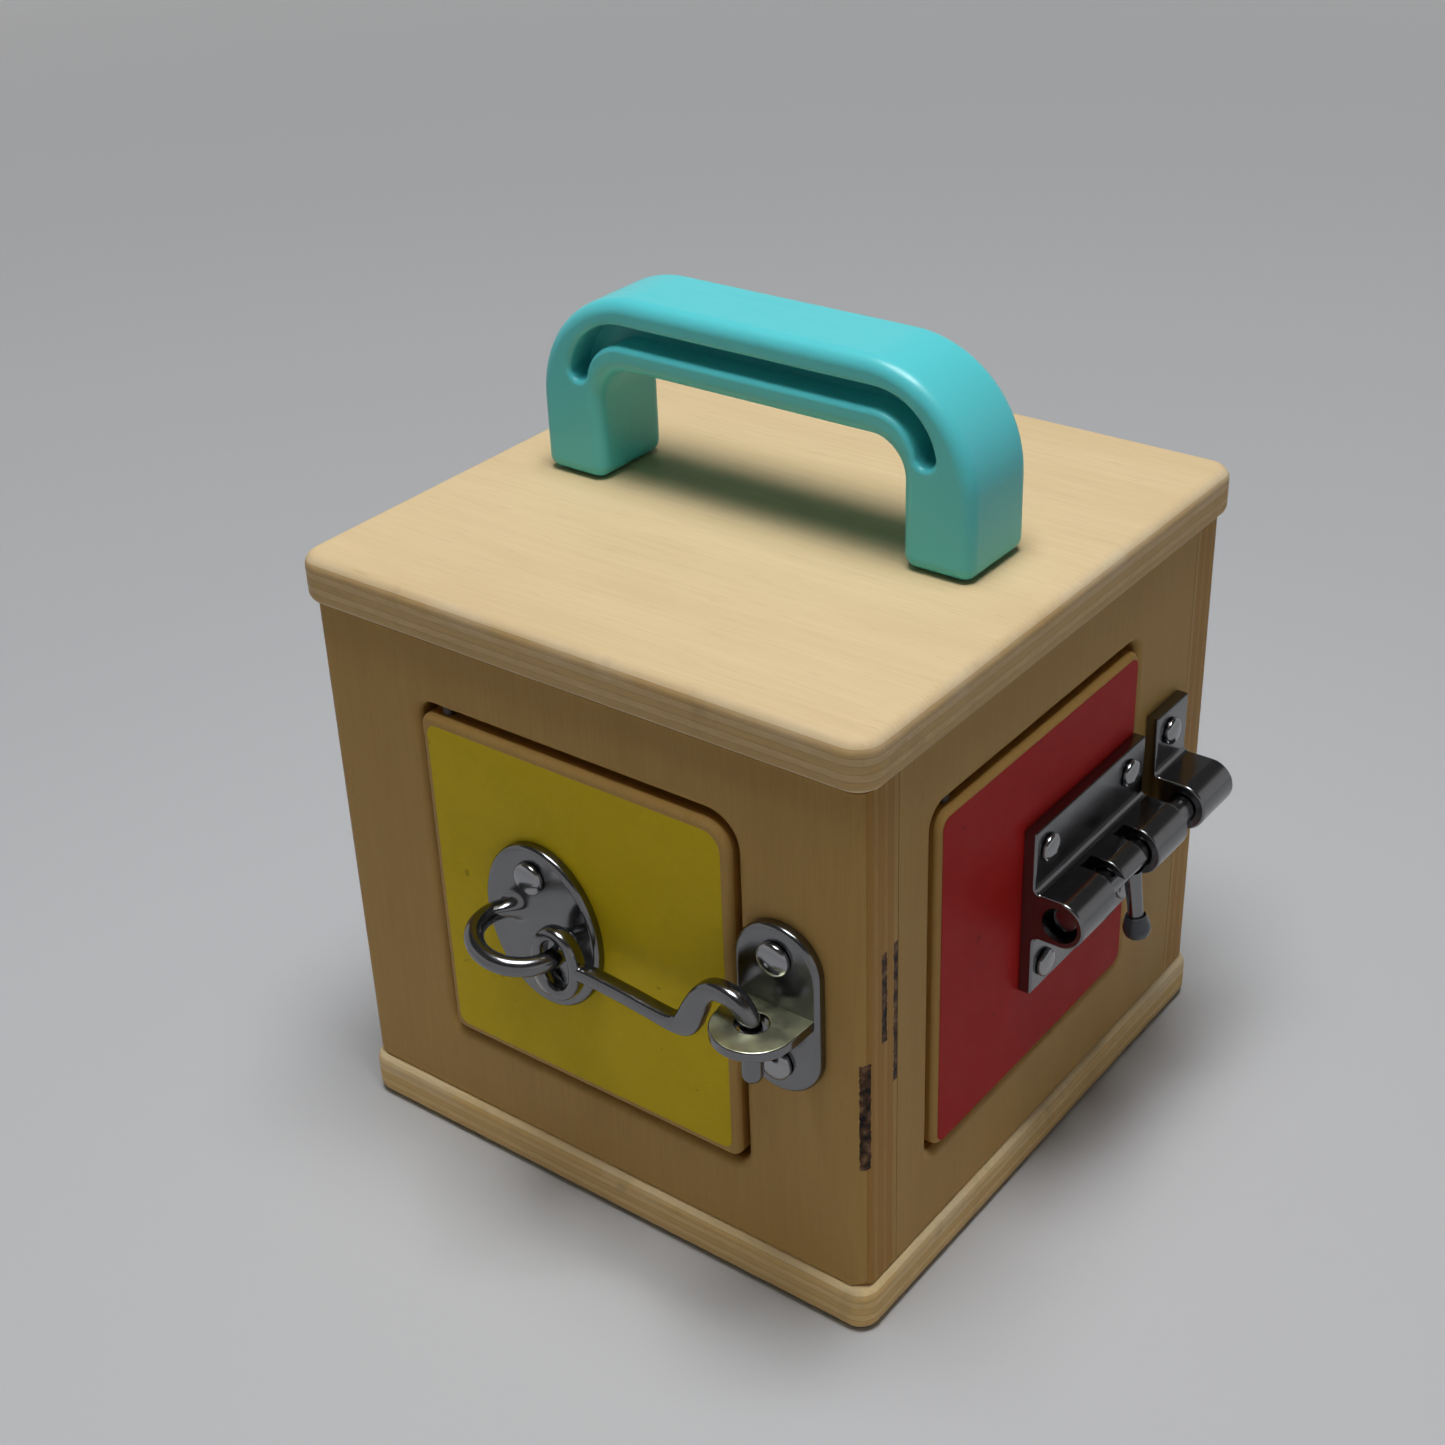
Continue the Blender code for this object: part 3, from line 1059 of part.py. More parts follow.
staple_axis = frame("staple_axis", (HASP_U + HASP_SLOT_U, DOOR_MIDDLE_V, 0), (0, 0, 0), face)
stem = turned("turn_staple", stem_profile, SCREW_STEPS)
turn_staple = add("turn_staple", stem, staple_axis, look=chrome("turn_staple_chrome"))
head_corner = STAPLE_STEM_RADIUS / 2
head_outline = rounded_rect(
    -STAPLE_HEAD_LENGTH / 2, STAPLE_HEAD_LENGTH / 2, 0, STAPLE_HEAD_HEIGHT,
    [head_corner, head_corner, HASP_CORNER, HASP_CORNER],
)
head_hole = circle(STAPLE_HOLE_RADIUS, SCREW_STEPS, 0, STAPLE_HEAD_HEIGHT * STAPLE_HOLE_SHARE)
head_mesh = flat(
    "staple_head_shape", [head_outline, head_hole], STAPLE_HEAD_THICKNESS, -STAPLE_HEAD_THICKNESS / 2
)
head_lift = HASP_PIN_OUT + strap_low + HASP_SHEET + PIN_GAP
staple_head = add(
    "staple_head_shape", head_mesh, staple_axis, (0, 0, head_lift), (QUARTER, 0, QUARTER), cutter=True
)
join(turn_staple, staple_head)
stem_drill = rod(
    "staple_stem_drill", STAPLE_STEM_RADIUS + PIN_GAP, stem_end - PIN_GAP, CUT_OVERRUN, SCREW_STEPS
)
cut(panels["back"], add("staple_stem_drill", stem_drill, staple_axis, cutter=True))
staple_places = [
    (HASP_U + HASP_SLOT_U, DOOR_MIDDLE_V + reach) for reach in (STAPLE_SCREW_REACH, -STAPLE_SCREW_REACH)
]
holes = screw_holes(
    "staple_holes", face, staple_places, staple_top + CUT_OVERRUN, staple_top - SCREW_LENGTH - PIN_GAP
)
cut(staple_plate, holes)
cut(panels["back"], holes)
for name, (u, v) in zip(("upper", "lower"), staple_places):
    screw("staple_screw_" + name, face, u, v, staple_top, wide=False)

# Turn button beside the blue door: a plate on the frame and an arm on a rivet
face = faces["left"]
button_plate_mesh = flat(
    "button_plate", [stadium(BUTTON_PLATE_WIDTH / 2, BUTTON_PLATE_HEIGHT / 2)], PLATE_THICKNESS, FACE_GAP
)
round_edges(button_plate_mesh, PLATE_EDGE_ROUND, lambda co: co.z > plate_top - FACE_GAP / 2)
button_plate = add(
    "button_plate", button_plate_mesh, face, (BUTTON_U, DOOR_MIDDLE_V, 0), look=chrome("button_plate_chrome")
)
button_axis = frame("button_axis", (BUTTON_U, DOOR_MIDDLE_V, 0), (0, 0, 0), face)
arm_bend = BUTTON_ARM_WIDTH / 2
arm_outline = (
    arc(0, BUTTON_ARM_LONG - arm_bend, arm_bend, 0, 2 * QUARTER, BIG_CORNER_STEPS)
    + arc(0, arm_bend - BUTTON_ARM_SHORT, arm_bend, 2 * QUARTER, 4 * QUARTER, BIG_CORNER_STEPS)
)
arm_hole = circle(BUTTON_RIVET_RADIUS + PIN_GAP, SCREW_STEPS)
arm_low = plate_top + NARROW_HEAD_HEIGHT + FACE_GAP * 3
arm_mesh = flat("button_arm", [arm_outline, arm_hole], BUTTON_ARM_THICKNESS, arm_low)
button_arm = add("button_arm", arm_mesh, button_axis, look=chrome("button_arm_chrome"))
lift_low = arm_low + BUTTON_ARM_THICKNESS
lift_top = lift_low + BUTTON_LIFT_HEIGHT
lift_neck = BUTTON_LIFT_RADIUS * BUTTON_NECK_SHARE
lift_profile = [
    (0, lift_top), (BUTTON_LIFT_RADIUS - BOLT_ROD_CHAMFER, lift_top),
    (BUTTON_LIFT_RADIUS, lift_top - BOLT_ROD_CHAMFER), (BUTTON_LIFT_RADIUS, lift_top - BOLT_ROD_CHAMFER * 3),
    (lift_neck, lift_low + JOIN_DEPTH), (lift_neck, lift_low - JOIN_DEPTH), (0, lift_low - JOIN_DEPTH),
]
lift = turned("button_lift_shape", lift_profile, SCREW_STEPS)
lift_up = BUTTON_ARM_LONG - arm_bend
join(button_arm, add("button_lift_shape", lift, button_axis, (0, lift_up, 0), cutter=True))
arm_top = lift_low + FACE_GAP
rivet_top = arm_top + BUTTON_RIVET_HEAD_HEIGHT
rivet_profile = [
    (0, rivet_top), (BUTTON_RIVET_HEAD - BOLT_ROD_CHAMFER, rivet_top),
    (BUTTON_RIVET_HEAD, rivet_top - BOLT_ROD_CHAMFER), (BUTTON_RIVET_HEAD, arm_top),
    (BUTTON_RIVET_RADIUS, arm_top), (BUTTON_RIVET_RADIUS, arm_low - FACE_GAP),
    (BUTTON_RIVET_HEAD, arm_low - FACE_GAP), (BUTTON_RIVET_HEAD, plate_top + FACE_GAP),
    (BUTTON_RIVET_RADIUS, plate_top + FACE_GAP), (BUTTON_RIVET_RADIUS, FACE_GAP * 2), (0, FACE_GAP * 2),
]
rivet_mesh = turned("button_rivet", rivet_profile, SCREW_STEPS)
rivet = add("button_rivet", rivet_mesh, button_axis, look=chrome("button_rivet_chrome"))
rivet_drill = rod(
    "rivet_drill", BUTTON_RIVET_RADIUS + PIN_GAP, -CUT_OVERRUN, plate_top + CUT_OVERRUN, SCREW_STEPS
)
cut(button_plate, add("rivet_drill", rivet_drill, button_axis, cutter=True))
button_places = [(BUTTON_U, DOOR_MIDDLE_V + reach) for reach in (BUTTON_SCREW_REACH, -BUTTON_SCREW_REACH)]
holes = screw_holes(
    "button_holes", face, button_places, plate_top + CUT_OVERRUN, plate_top - SCREW_LENGTH - PIN_GAP
)
cut(button_plate, holes)
cut(panels["left"], holes)
for name, (u, v) in zip(("upper", "lower"), button_places):
    screw("button_screw_" + name, face, u, v, plate_top, wide=False)
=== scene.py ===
import json
import math

import bmesh
import bpy
import numpy as np
from mathutils import Euler, Matrix, Vector


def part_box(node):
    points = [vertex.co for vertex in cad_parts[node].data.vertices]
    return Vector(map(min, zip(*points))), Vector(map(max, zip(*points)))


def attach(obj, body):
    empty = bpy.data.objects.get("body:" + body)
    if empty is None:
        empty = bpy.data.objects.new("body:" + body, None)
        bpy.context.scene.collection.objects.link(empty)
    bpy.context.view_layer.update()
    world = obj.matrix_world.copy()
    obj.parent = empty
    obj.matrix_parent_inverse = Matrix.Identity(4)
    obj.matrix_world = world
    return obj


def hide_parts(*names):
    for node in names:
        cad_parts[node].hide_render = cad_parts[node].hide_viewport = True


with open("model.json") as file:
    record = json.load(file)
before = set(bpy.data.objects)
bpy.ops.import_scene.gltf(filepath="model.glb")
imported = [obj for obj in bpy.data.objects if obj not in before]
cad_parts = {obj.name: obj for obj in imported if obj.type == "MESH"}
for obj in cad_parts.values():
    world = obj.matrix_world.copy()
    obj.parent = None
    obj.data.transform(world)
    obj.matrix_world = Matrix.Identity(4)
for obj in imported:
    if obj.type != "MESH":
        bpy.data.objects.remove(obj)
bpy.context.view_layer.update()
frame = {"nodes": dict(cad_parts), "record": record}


# BASE BOARD AND LID BOARD
# Birch plywood cut to size, its corners rounded in plan and every edge run over with a router.
# The veneers show as bands wherever the edge is cut. Base and lid are glued to the four sides.
MM = 0.001
QUARTER = math.pi / 2
HALF_TURN = 2 * QUARTER
TURN = 4 * QUARTER
BOARD_EDGE_ROUND = 3.0 * MM
LID_CORNER = 6.0 * MM
BASE_CORNER = 5.0 * MM
WELD = 0.002 * MM
FLAT_ANGLE = math.radians(0.4)
SHARP_ANGLE = math.radians(45)
SHADING_ANGLE = math.radians(38)
VENEERS = 7
GLUE_AFTER = 0.010
GLUE_BEFORE = 0.012
FACE_FADE = 0.02
PALE_BIRCH = (0.690, 0.520, 0.300)
# The base board's birch is a lighter copy of the lid's: painted light on its edges.
LIT_BASE_BIRCH = (0.860, 0.650, 0.340)
BARE_BIRCH = (0.840, 0.760, 0.590)
# Tan birch: the lid's birch darkened for the upright boards and the doors, painted shade for light that falls
# mostly from above.
SHADED_BIRCH = (0.490, 0.295, 0.090)
DARK_GRAIN = (0.84, 0.79, 0.70)
LIGHT_GRAIN = (1.08, 1.08, 1.10)
PORE_SHADE = 0.60
SOIL_SHADE = 0.45
FACE_VENEER = (1.0, 1.0, 1.0)
END_VENEER = (0.92, 0.80, 0.60)
LONG_VENEER = (1.0, 0.94, 0.80)
FIBRE_SHADE = 0.8
GLUE_LINE = (0.66, 0.50, 0.34)
BARK = [(0.38, (0.012, 0.008, 0.006)), (0.52, (0.10, 0.045, 0.02)), (0.66, (0.25, 0.14, 0.07))]
RUBBED_BAND = 2.4 * MM
LACQUER_SHINE = 0.12
FINE_BUMP = 0.10
GRAIN_DEPTH = 0.12 * MM
VENEER_WAVER = 0.022
RAGGED_EDGE = 0.9 * MM
# Each figure in the birch is a noise: its scale, detail and roughness. Its show says where in the noise
# it starts and ends, and how strong it is at each.
STREAKS, STREAK_SHOW = (42, 4, 0.62), [(0.28, 0.42), (0.66, 0.0)]
FIGURE, FIGURE_SHOW = (9, 3, 0.55), [(0.42, 0.0), (0.72, 0.30)]
PORES, PORE_SHOW = (115, 2, 0.5), [(0.64, 0.0), (0.76, 0.30)]
BLOTCHES, BLOTCH_SHOW = (22, 2, 0.5), [(0.35, 0.0), (0.75, 0.30)]
FIBRES, FIBRE_SHOW = (260, 2, 0.6), [(0.35, 0.30), (0.65, 0.0)]
HANDLING, HANDLED_SHOW = (28, 4, 0.6), [(0.42, 0.0), (0.66, 0.36)]
SOIL, SOIL_SHOW = (75, 3, 0.6), [(0.60, 0.0), (0.70, 0.25)]
WAVER = (60, 2, 0.5)
RAGGED = (900, 3, 0.6)
KNOTS = (330, 3, 0.6)
RIM_SHOW = [(0.0, 0.0), (0.6, 1.0)]
UPPER_SHOW = [(0.55, 0.0), (0.75, 1.0)]
BIRCH_ROUGHNESS = [(0.3, 0.40), (0.7, 0.52)]
STREAK_RELIEF = 0.6
PORE_RELIEF = -0.4
# How many times longer along the grain than across it the streaks, the figure and the pores are.
STREAK_DRAW = 30
FIGURE_DRAW = 30**0.62
PORE_DRAW = 30**0.85
FIBRE_STRETCH = (1, 1, 6)


def arc(cu, cv, radius, start, end, steps):
    """Points of an arc about (cu, cv), from one angle to the other."""
    angles = [start + (end - start) * n / steps for n in range(steps + 1)]
    return [(cu + radius * math.cos(angle), cv + radius * math.sin(angle)) for angle in angles]


def rounded_rectangle(left, right, bottom, top, corners, steps=10):
    """Outline from the lower left corner, anticlockwise; corners in the same order."""
    a, b, c, d = corners
    return (
        arc(left + a, bottom + a, a, HALF_TURN, 3 * QUARTER, steps)
        + arc(right - b, bottom + b, b, 3 * QUARTER, TURN, steps)
        + arc(right - c, top - c, c, 0, QUARTER, steps)
        + arc(left + d, top - d, d, QUARTER, HALF_TURN, steps)
    )


def linked(name, data):
    """A new object in the scene, made of a mesh, curve, lamp or camera."""
    made = bpy.data.objects.new(name, data)
    bpy.context.scene.collection.objects.link(made)
    return made


def finished_mesh(holder):
    """The mesh that an object comes to, with the object cleared away."""
    bpy.context.view_layer.update()
    mesh = bpy.data.meshes.new_from_object(holder.evaluated_get(bpy.context.evaluated_depsgraph_get()))
    bpy.data.objects.remove(holder)
    return mesh


def mesh_of_curve(curve, shift=(0, 0, 0)):
    """The welded mesh that a curve makes, moved by shift."""
    mesh = finished_mesh(linked(curve.name, curve))
    bpy.data.curves.remove(curve)
    shape = bmesh.new()
    shape.from_mesh(mesh)
    bmesh.ops.remove_doubles(shape, verts=shape.verts, dist=WELD)
    bmesh.ops.dissolve_limit(shape, angle_limit=FLAT_ANGLE, verts=shape.verts, edges=shape.edges)
    bmesh.ops.translate(shape, vec=shift, verts=shape.verts)
    bmesh.ops.recalc_face_normals(shape, faces=shape.faces)
    shape.to_mesh(mesh)
    shape.free()
    mesh.materials.clear()
    return mesh


def slab(name, outlines, thickness, low=0.0):
    """A sheet from low upwards along its own Z: the first outline is its edge, the others are holes."""
    curve = bpy.data.curves.new(name, "CURVE")
    curve.dimensions = "2D"
    curve.fill_mode = "BOTH"
    curve.extrude = thickness / 2
    for outline in outlines:
        spline = curve.splines.new("POLY")
        spline.points.add(len(outline) - 1)
        for point, (u, v) in zip(spline.points, outline):
            point.co = (u, v, 0, 1)
        spline.use_cyclic_u = True
    return mesh_of_curve(curve, (0, 0, low + thickness / 2))


def round_over(mesh, radius, chosen=lambda co: True, steps=6, upright=False):
    """Rounds the sharp edges whose two ends are both chosen, or only those of them that stand up in v."""
    shape = bmesh.new()
    shape.from_mesh(mesh)
    edges = [
        edge for edge in shape.edges
        if edge.calc_face_angle(0) > SHARP_ANGLE and all(chosen(v.co) for v in edge.verts)
        and not (upright and abs(edge.verts[0].co.y - edge.verts[1].co.y) < radius)
    ]
    bmesh.ops.bevel(
        shape, geom=edges, offset=radius, offset_type="OFFSET", segments=steps, profile=0.5, affect="EDGES"
    )
    shape.to_mesh(mesh)
    shape.free()
    return mesh


def put(name, mesh, look, body, place=Matrix.Identity(4), stands_for=()):
    """Sets a piece in its place on the box and makes it ride with its body."""
    made = linked(name, mesh)
    mesh.materials.append(look)
    mesh.shade_smooth()
    mesh.set_sharp_from_angle(angle=SHADING_ANGLE)
    made.matrix_world = place
    made.modifiers.new("even shading", "WEIGHTED_NORMAL").keep_sharp = True
    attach(made, body)
    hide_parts(*stands_for)


def start_look(name, roughness, metallic=0.0, colour=(0.5, 0.5, 0.5)):
    """A new material with its plain values, its tree and its shader."""
    look = bpy.data.materials.new(name)
    look.use_nodes = True
    look.diffuse_color = (*colour, 1)
    shader = look.node_tree.nodes["Principled BSDF"]
    shader.inputs["Roughness"].default_value = roughness
    shader.inputs["Metallic"].default_value = metallic
    shader.inputs["Base Color"].default_value = (*colour, 1)
    return look, look.node_tree, shader


def step(tree, kind, out=0, settings=None, **inputs):
    """Adds one node. Inputs are named by socket, with _ for a space, or in_0, in_1 by number."""
    node = tree.nodes.new("ShaderNode" + kind)
    for key, value in (settings or {}).items():
        setattr(node, key, value)
    for key, value in inputs.items():
        socket = node.inputs[int(key[3:])] if key.startswith("in_") else node.inputs[key.replace("_", " ")]
        if isinstance(value, bpy.types.NodeSocket):
            tree.links.new(value, socket)
        else:
            socket.default_value = value
    return node.outputs[out]


def maths(tree, operation, a, b=0.0):
    return step(tree, "Math", settings={"operation": operation}, in_0=a, in_1=b)


def spread(tree, share, size):
    """A noise's share turned into a shift of up to half of size either way."""
    return maths(tree, "MULTIPLY", maths(tree, "SUBTRACT", share, 0.5), size)


def own_place(tree):
    """Where a point of the surface is in the piece's own axes."""
    return step(tree, "TexCoord", out=3)


def shade(colour, share):
    """A colour times one share, or times one share for each of its three channels."""
    shares = share if isinstance(share, tuple) else (share,) * 3
    return tuple(min(1, c * s) for c, s in zip(colour, shares))


def blend_colours(tree, share, a, b, kind="MIX"):
    """Mixes two colours; each is a colour socket or a plain (r, g, b)."""
    a = a if isinstance(a, bpy.types.NodeSocket) else (*a, 1)
    b = b if isinstance(b, bpy.types.NodeSocket) else (*b, 1)
    settings = {"data_type": "RGBA", "blend_type": kind}
    return step(tree, "Mix", out=2, settings=settings, in_0=share, in_6=a, in_7=b)


def ramp(tree, factor, stops):
    """A value turned into a share or a colour by stops of place and share, or place and colour."""
    node = tree.nodes.new("ShaderNodeValToRGB")
    tree.links.new(factor, node.inputs[0])
    elements = node.color_ramp.elements
    while len(elements) < len(stops):
        elements.new(1.0)
    for element, (place, colour) in zip(elements, stops):
        element.position = place
        element.color = (*colour, 1) if isinstance(colour, tuple) else (colour, colour, colour, 1)
    return node.outputs[0]


def noise(tree, where, scale, detail=2.0, roughness=0.5, stretch=None):
    if stretch:
        where = step(tree, "Mapping", Vector=where, Scale=stretch)
    return step(tree, "TexNoise", Vector=where, Scale=scale, Detail=detail, Roughness=roughness)


def layer(tree, under, figure, show, over):
    """A colour with one more figure laid over it."""
    return blend_colours(tree, ramp(tree, figure, show), under, over)


def bump(tree, strength, depth, height):
    return step(tree, "Bump", Strength=strength, Distance=depth, Height=height)


def feed(tree, shader, **sockets):
    """Leads values into the shader's sockets, named with _ for a space."""
    for name, value in sockets.items():
        tree.links.new(value, shader.inputs[name.replace("_", " ")])


def drawn_out(grain, times):
    """A figure's scale along x, y and z where it is drawn out along the grain, in X or in Y."""
    return (1, times, times) if grain == "X" else (times, 1, times)


def veneer_bands(tree, depth):
    """The colour of the cut edge, by how deep in the board it is: light and dark plies with glue between."""
    stops = []
    for n in range(VENEERS):
        outermost = n in (0, VENEERS - 1)
        band = FACE_VENEER if outermost else (END_VENEER if n % 2 else LONG_VENEER)
        stops.append((n / VENEERS + GLUE_AFTER * (n > 0), band))
        stops.append(((n + 1) / VENEERS - GLUE_BEFORE, band))
        if n < VENEERS - 1:
            stops.append(((n + 1) / VENEERS, GLUE_LINE))
    return ramp(tree, depth, stops)


def bark_gaps(tree, wood, local, sides, patches):
    """Dark gaps in the veneers, each patch given as its ends along x, y and z."""
    ragged = noise(tree, local, *RAGGED)
    for patch in patches:
        inside = 1.0
        for side, (start, end) in zip(sides, patch):
            spot = maths(tree, "ADD", side, spread(tree, ragged, RAGGED_EDGE))
            inside = maths(tree, "MULTIPLY", inside, maths(tree, "GREATER_THAN", spot, start))
            inside = maths(tree, "MULTIPLY", inside, maths(tree, "LESS_THAN", spot, end))
        wood = blend_colours(tree, inside, wood, ramp(tree, noise(tree, local, *KNOTS), BARK))
    return wood


def worn_edges(tree, wood, where, sides, thickness, reach, birch):
    """A board's upper edges rubbed pale and soiled by hands; reach is its half length and half width."""
    x, y, z = sides
    beyond = maths(
        tree, "MAXIMUM",
        maths(tree, "SUBTRACT", maths(tree, "ABSOLUTE", x), reach[0]),
        maths(tree, "SUBTRACT", maths(tree, "ABSOLUTE", y), reach[1]),
    )
    outward = maths(tree, "ADD", maths(tree, "DIVIDE", beyond, RUBBED_BAND), 1.0)
    near_edge = ramp(tree, outward, RIM_SHOW)
    upper = ramp(tree, maths(tree, "DIVIDE", z, thickness), UPPER_SHOW)
    handled = ramp(tree, noise(tree, where, *HANDLING), HANDLED_SHOW)
    pale_patch = maths(tree, "MULTIPLY", maths(tree, "MULTIPLY", near_edge, upper), handled)
    wood = blend_colours(tree, pale_patch, wood, BARE_BIRCH)
    soiled = ramp(tree, noise(tree, where, *SOIL), SOIL_SHOW)
    return blend_colours(tree, maths(tree, "MULTIPLY", near_edge, soiled), wood, shade(birch, SOIL_SHADE))


def birch_ply(name, low, thickness, birch, grain, seed, patches=(), reach=None):
    """Lacquered birch plywood. low and thickness are along the piece's own Z, and the grain runs in X or
    Y. patches are gaps in a veneer, and reach is given for a board with worn edges."""
    look, tree, shader = start_look(name, 0.46, colour=birch)
    local = own_place(tree)
    where = step(tree, "Mapping", Vector=local, Location=(seed, seed * 0.7, seed * 0.3))
    streaks = noise(tree, where, *STREAKS, drawn_out(grain, STREAK_DRAW))
    figure = noise(tree, where, *FIGURE, drawn_out(grain, FIGURE_DRAW))
    pores = noise(tree, where, *PORES, drawn_out(grain, PORE_DRAW))
    blotches = noise(tree, where, *BLOTCHES)
    dark, light = shade(birch, DARK_GRAIN), shade(birch, LIGHT_GRAIN)
    wood = layer(tree, light, streaks, STREAK_SHOW, dark)
    wood = layer(tree, wood, figure, FIGURE_SHOW, dark)
    wood = layer(tree, wood, pores, PORE_SHOW, shade(dark, PORE_SHADE))
    wood = layer(tree, wood, blotches, BLOTCH_SHOW, light)
    sides = [step(tree, "SeparateXYZ", out=n, Vector=local) for n in range(3)]
    level = maths(tree, "DIVIDE", maths(tree, "SUBTRACT", sides[2], low), thickness)
    depth = maths(tree, "ADD", level, spread(tree, noise(tree, where, *WAVER), VENEER_WAVER))
    fibres = noise(tree, where, *FIBRES, FIBRE_STRETCH)
    bands = layer(tree, veneer_bands(tree, depth), fibres, FIBRE_SHOW, shade(END_VENEER, FIBRE_SHADE))
    first, last = 1 / VENEERS, 1 - 1 / VENEERS
    inner_show = [(0.0, 0.0), (first - FACE_FADE, 0.0), (first, 1.0)]
    inner_show += [(last, 1.0), (last + FACE_FADE, 0.0), (1.0, 0.0)]
    wood = blend_colours(tree, 1.0, wood, layer(tree, FACE_VENEER, depth, inner_show, bands), "MULTIPLY")
    if patches:
        wood = bark_gaps(tree, wood, local, sides, patches)
    if reach:
        wood = worn_edges(tree, wood, where, sides, thickness, reach, birch)
    shader.inputs["Specular IOR Level"].default_value = LACQUER_SHINE
    sunk = maths(tree, "MULTIPLY", pores, PORE_RELIEF)
    surface = maths(tree, "ADD", maths(tree, "MULTIPLY", streaks, STREAK_RELIEF), sunk)
    relief = bump(tree, FINE_BUMP, GRAIN_DEPTH, surface)
    feed(tree, shader, Base_Color=wood, Roughness=ramp(tree, streaks, BIRCH_ROUGHNESS), Normal=relief)
    return look


def board(node, corner, birch, seed):
    """A board that lies flat, cut and rounded to the size of its node."""
    low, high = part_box(node)
    middle = (low + high) / 2
    half = (high - low) / 2
    outline = rounded_rectangle(-half.x, half.x, -half.y, half.y, [corner] * 4)
    mesh = round_over(slab(node, [outline], high.z - low.z), BOARD_EDGE_ROUND)
    look = birch_ply(node + "_birch", 0.0, high.z - low.z, birch, "X", seed, reach=(half.x, half.y))
    put(node + "_board", mesh, look, "box", Matrix.Translation((middle.x, middle.y, low.z)), [node])


# The base takes the lightened birch: painted light on its edges.
board("base_panel", BASE_CORNER, LIT_BASE_BIRCH, 3.1)
board("lid_panel", LID_CORNER, PALE_BIRCH, 7.3)


# FOUR SIDE BOARDS
# Birch plywood with a doorway sawn out of each and its rim rounded over. The front and back boards
# run the full width with softened upright corners, and the other two are butted and glued between them.
OPENING_EDGE_ROUND = 2.4 * MM
BODY_CORNER_ROUND = 3.5 * MM
OPENING_GAP = 1.0 * MM
OPENING_GAP_BELOW = 1.4 * MM
OPENING_GAP_ABOVE = 1.6 * MM
OPENING_CORNERS = {
    "front": (3.0 * MM, 3.0 * MM, 7.5 * MM, 3.0 * MM),
    "right": (3.0 * MM, 3.0 * MM, 3.0 * MM, 4.5 * MM),
    "back": (3.0 * MM,) * 4,
    "left": (3.0 * MM,) * 4,
}
NEAR = 1.0 * MM
END_GAPS = [
    ((72.0 * MM, 90.0 * MM), (75.0 * MM, 97.0 * MM), (-8.2 * MM, -6.3 * MM)),
    ((72.0 * MM, 90.0 * MM), (62.5 * MM, 97.5 * MM), (-12.5 * MM, -10.6 * MM)),
    ((71.2 * MM, 90.0 * MM), (45.0 * MM, 72.5 * MM), (-2.6 * MM, -0.5 * MM)),
]

side_frame = {}
for turn, side in enumerate(("front", "right", "back", "left")):
    low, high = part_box(side + "_panel")
    facing = Matrix.Rotation(turn * QUARTER, 4, "Z")
    outward = facing @ Vector((0, -1, 0))
    reach = max(low.dot(outward), high.dot(outward))
    side_frame[side] = Matrix.Translation(outward * reach) @ facing @ Matrix.Rotation(QUARTER, 4, "X")


def on_side(side, node):
    """The lowest and highest corner of a node in its side's own axes: u to the right, v up, w outwards."""
    back = side_frame[side].inverted()
    ends = [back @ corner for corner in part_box(node)]
    return Vector(map(min, *ends)), Vector(map(max, *ends))


for side, frame_of_side in side_frame.items():
    low, high = on_side(side, side + "_panel")
    door_low, door_high = on_side(side, side + "_door")
    left, right = door_low.x - OPENING_GAP, door_high.x + OPENING_GAP
    sill, head = door_low.y - OPENING_GAP_BELOW, door_high.y + OPENING_GAP_ABOVE
    outer = [(low.x, low.y), (high.x, low.y), (high.x, high.y), (low.x, high.y)]
    opening = rounded_rectangle(left, right, sill, head, OPENING_CORNERS[side])
    mesh = round_over(
        slab(side + "_board", [outer, opening], high.z - low.z, low.z), OPENING_EDGE_ROUND,
        lambda co: co.z > -NEAR and left - NEAR < co.x < right + NEAR and sill - NEAR < co.y < head + NEAR,
    )
    if side in ("front", "back"):
        outer_corner = lambda co: abs(co.x) > high.x - NEAR and co.z > -NEAR
        round_over(mesh, BODY_CORNER_ROUND, outer_corner, 8, upright=True)
    other_veneer = len(side) * 1.7 + low.x * 40
    gaps = END_GAPS if side == "front" else ()
    # These boards take the darkened birch: painted shade.
    look = birch_ply(side + "_birch", low.z, high.z - low.z, SHADED_BIRCH, "Y", other_veneer, gaps)
    put(side + "_side_board", mesh, look, "box", frame_of_side, [side + "_panel"])


# FOUR DOORS
# Plywood blocks with rounded edges, hung on hidden pins. The flat face alone is painted, by a thin
# stencilled coat that stops short of the rounded edge and leaves the birch bare there.
BODY_OF_DOOR = {"front": "yellow_door", "right": "red_door", "back": "green_door", "left": "blue_door"}
DOOR_EDGE_ROUND = 1.6 * MM
DOOR_FACE_SKIN = 0.1 * MM
DOOR_CORNERS = {
    "front": (3.0 * MM, 3.0 * MM, 6.5 * MM, 3.0 * MM),
    "right": (3.0 * MM, 3.0 * MM, 3.0 * MM, 3.8 * MM),
    "back": (3.0 * MM,) * 4,
    "left": (3.0 * MM,) * 4,
}
COAT_THICKNESS = 0.06 * MM
COAT_CORNERS = {
    "front": (2.6 * MM, 2.6 * MM, 4.5 * MM, 2.6 * MM),
    "right": (2.6 * MM,) * 4,
    "back": (2.6 * MM,) * 4,
    "left": (2.6 * MM,) * 4,
}
